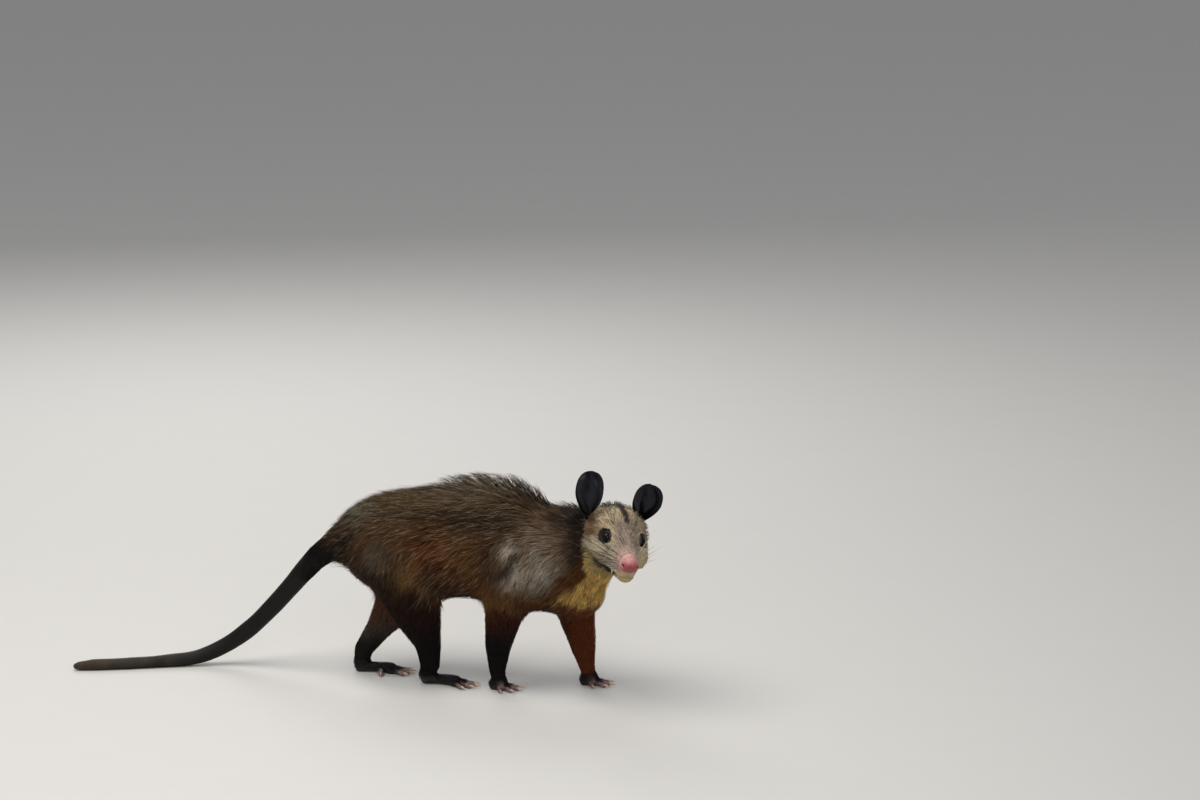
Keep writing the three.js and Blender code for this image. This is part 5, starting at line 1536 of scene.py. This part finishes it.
def eyeball(name, side, rings=36, sides=64):
    """A smooth eyeball with a slight bulge of the cornea ahead."""
    axis, centre = gaze(side), eye_centre(side)
    across = unit(np.cross(axis, (0, 0, 1)))
    up = np.cross(across, axis)
    stations = []
    for angle in np.linspace(math.radians(2), math.radians(178), rings):
        size = EYE["radius"] * (1 + 0.05 * smooth(math.cos(angle), 0.5, 1))
        reach = size * math.sin(angle)
        stations.append((centre + axis * size * math.cos(angle), across * reach, up * reach))
    return tube_object(name, *tube(stations[::-1], sides), EYE_CORNEA)


def lid(name, side):
    """A rim of lid over the eyeball: an almond opening, thicker above, that runs out under the coat."""
    axis, centre = gaze(side), eye_centre(side)
    across = unit(np.cross(AXES[2], axis))
    up = np.cross(axis, across)
    sides, stations = 72, 13
    turn = np.arange(sides) / sides * 2 * math.pi
    opening = np.radians(66 - 7 * np.abs(np.sin(turn)) ** 1.5 + 3 * np.cos(turn) ** 8)
    upper = smooth(np.sin(turn), -0.2, 0.8)
    rings = []
    for n in range(stations):
        share = n / (stations - 1)
        polar = opening + share * np.radians(40)
        swell = np.sin(np.minimum(share * 1.9, 1) * math.pi / 2)
        proud = 0.15 + (0.95 + 0.5 * upper) * swell * (1 - 0.5 * share)
        proud = proud + 0.12 * np.sin(share * 16) * smooth(share, 0.2, 0.4)
        size = EYE["radius"] + proud
        rings.append(centre + (size * np.cos(polar))[:, None] * axis
                     + (size * np.sin(polar) * np.cos(turn))[:, None] * across
                     + (size * np.sin(polar) * np.sin(turn))[:, None] * up)
    inner = [centre + (ring - centre) * 0.93 for ring in rings[::-1]]
    rings = rings + inner
    points = np.concatenate(rings)
    total = len(rings)
    r, s = np.meshgrid(np.arange(total), np.arange(sides), indexing="ij")
    after, further = (s + 1) % sides, (r + 1) % total
    corners = [r * sides + s, r * sides + after, further * sides + after, further * sides + s]
    mesh = mesh_of(name, points, np.stack(corners, axis=-1).reshape(-1, 4))
    paint(mesh, np.broadcast_to(PAINT["eye_ring"] * 0.7, points.shape))
    return new_object(name, mesh, LID_SKIN)


def onto_skin(point, way):
    """Moves a point of the face out along a direction until it lies on the bare skin."""
    place = np.array(point, float)
    for _ in range(30):
        place = place - way * animal_field(place[None])[0]
    return place


def hair(root, way, bend, length, thick, steps_along=9, sides=5):
    """A long tapered hair that curves from its root's direction towards another."""
    stations = []
    place = np.array(root, float)
    for n in range(steps_along + 1):
        share = n / steps_along
        heading = unit(way * (1 - share) + bend * share)
        side = unit(np.cross(heading, (0.3, 0.2, 1)))
        up = np.cross(side, heading)
        size = thick * (1 - share) ** 0.7 + 0.03
        stations.append((place.copy(), side * size, up * size))
        place = place + heading * length / steps_along
    return tube(stations, sides)


def whiskers(side, name, material):
    """The long hairs of one side of the muzzle: those of the left are shorter, thinner and held higher."""
    fine = 0.6 if side > 0 else 1
    hairs = []
    random = np.random.default_rng(5 + side)
    outward = head_direction(0, side, 0)
    for row, (height, count, sweep) in enumerate(WHISKERS["rows"]):
        for n in range(count):
            share = n / (count - 1)
            forward = WHISKERS["from"] + (WHISKERS["to"] - WHISKERS["from"]) * share + 2 * row % 3
            root = onto_skin(head_point(forward, side * 12, height), outward)
            length = WHISKERS["longest"] * (1 - 0.6 * share) * random.uniform(0.7, 1.05) * fine
            rise = sweep + 0.14 * random.normal() + (0.35 if side > 0 else 0)
            way = unit(head_direction(-0.3 - 0.2 * random.random(), side * 0.8, rise + 0.1))
            back = 1.3 if side < 0 else 0.5
            bend = unit(head_direction(-back, side * 0.6, rise - 0.1))
            thick = WHISKERS["thick"] * (1 - 0.3 * share) * fine
            hairs.append(hair(root - outward * 0.5, way, bend, length, thick))
    return tube_object(name, *joined(hairs), material)


def brow_hairs():
    """A few dark hairs that stand up over each eye."""
    hairs = []
    for side in (1, -1):
        for forward, out, lean, length in BROW_HAIRS:
            lean = lean if side < 0 else 0.2 * lean - 0.1
            root = onto_skin(head_point(forward, side * out, 14), head_direction(0, 0, 1))
            way = unit(head_direction(0.15, side * lean * 0.7, 1))
            bend = unit(head_direction(-0.45, side * lean, 0.9))
            hairs.append(hair(root, way, bend, length, BROW_THICK))
    return tube_object("brow_hairs", *joined(hairs), WHISKER_HAIR)


def tooth():
    """The tip of the right canine, which shows below the lip."""
    root, tip = head_point(*TOOTH["root"]), head_point(*TOOTH["tip"])
    across, up = head_direction(1, 0, 0), head_direction(0, 1, 0)
    stations = []
    for share in np.linspace(0, 1, 9):
        size = TOOTH["thick"] * (1 - share ** 1.8) + 0.12
        stations.append((root + share * (tip - root), across * size, up * size * 0.8))
    return tube_object("canine_right", *tube(stations, 14), TOOTH_ENAMEL)


# The pieces


def main_skin():
    axes = [
        grid_lines((-222, 118, "body"), (118, 244, "head")),
        grid_lines((-132, -20, "head"), (-20, 84, "body")),
        grid_lines((6, 134, "body"), (134, 252, "head")),
    ]
    points, faces = surface_net(animal_field, axes)
    mesh = mesh_of("skin", points, faces)
    normals = unit(slope(animal_field, points))
    shares, _ = coat_at(points)
    colour, _ = marking_at(points, normals, shares)
    paint(mesh, colour * HIDE_SHADE)
    return new_object("skin", mesh, HIDE), points, faces


def add_piece(piece, slot=None, *solids):
    """Puts a piece on the one body and hides the solids that it stands for; the slot is not used."""
    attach(piece, "root")
    if solids:
        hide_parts(*solids)


skin, skin_points, skin_faces = main_skin()
leg_solids = [f"{leg}_{part}" for leg in LEG for part in ("upper", "lower")]
add_piece(skin, "fur", "torso", "neck", "head", "jaw", *leg_solids)
for number, layer_name in enumerate(LAYER):
    for tufts in coat_layer(layer_name, skin_points, skin_faces, np.random.default_rng(11 + number)):
        add_piece(tufts, "fur")
for leg in LEG:
    sole, claws, foot_hairs = foot(leg)
    add_piece(sole, "foot_skin", f"{leg}_foot")
    for piece in (claws, *foot_hairs):
        add_piece(piece)
add_piece(tail(), "tail_skin", *[f"tail_{number}" for number in range(1, 6)])
for ear_name in EAR:
    add_piece(ear(ear_name), "ear_skin", ear_name)
add_piece(nose(), "nose_skin", "nose")
for side, hand in ((1, "left"), (-1, "right")):
    add_piece(eyeball(f"eyeball_{hand}", side), "eye", f"eye_{hand}")
    add_piece(lid(f"eyelids_{hand}", side))
add_piece(whiskers(-1, "whiskers_right", WHISKER_HAIR))
add_piece(whiskers(1, "whiskers_left", PALE_WHISKER))
add_piece(brow_hairs())
add_piece(tooth())

# Floor, light and camera


def sheet_of_floor():
    half = FLOOR_HALF
    points = np.array([(-half, -half, 0), (half, -half, 0), (half, half, 0), (-half, half, 0)], float)
    mesh = mesh_of("floor", points, np.array([[0, 1, 2, 3]]), smooth_shaded=False)
    new_object("floor", mesh, FLOOR_PAINT)


def soft_light(name, at, aim, size, power, colour):
    lamp = bpy.data.lights.new(name, "AREA")
    lamp.shape = "DISK"
    lamp.size = size
    lamp.energy = power
    lamp.color = colour
    thing = bpy.data.objects.new(name, lamp)
    bpy.context.scene.collection.objects.link(thing)
    thing.location = at
    thing.rotation_euler = (Vector(aim) - Vector(at)).to_track_quat("-Z", "Y").to_euler()


def photo_camera():
    a, e = math.radians(VIEW["azimuth"]), math.radians(VIEW["elevation"])
    right = np.array([math.cos(a), math.sin(a), 0])
    up = np.array([-math.sin(a) * math.sin(e), math.cos(a) * math.sin(e), math.cos(e)])
    back = np.array([math.sin(a) * math.cos(e), -math.cos(a) * math.cos(e), math.sin(e)])
    (cx, cy), (ox, oy), scale = VIEW["centre"], VIEW["origin"], VIEW["pixels_per_mm"]
    target = right * (cx - ox) / scale + up * (oy - cy) / scale
    camera = bpy.data.objects.new("camera", bpy.data.cameras.new("camera"))
    bpy.context.scene.collection.objects.link(camera)
    camera.data.sensor_width = VIEW["sensor"]
    camera.data.lens = VIEW["sensor"] * VIEW["distance"] * scale / VIEW["frame"]
    camera.data.clip_end = 100
    turned = Matrix((right, up, back)).transposed().to_4x4()
    turned.translation = Vector((target + back * VIEW["distance"] + SHIFT) * MM)
    camera.matrix_world = turned
    bpy.context.scene.camera = camera


sheet_of_floor()
for light_name, facts in LIGHTS.items():
    soft_light(light_name, *facts)
world = bpy.data.worlds.new("studio")
world.use_nodes = True
background = world.node_tree.nodes["Background"]
background.inputs["Color"].default_value = SKY["colour"]
background.inputs["Strength"].default_value = SKY["strength"]
bpy.context.scene.world = world
bpy.context.scene.view_settings.view_transform = "Standard"
photo_camera()
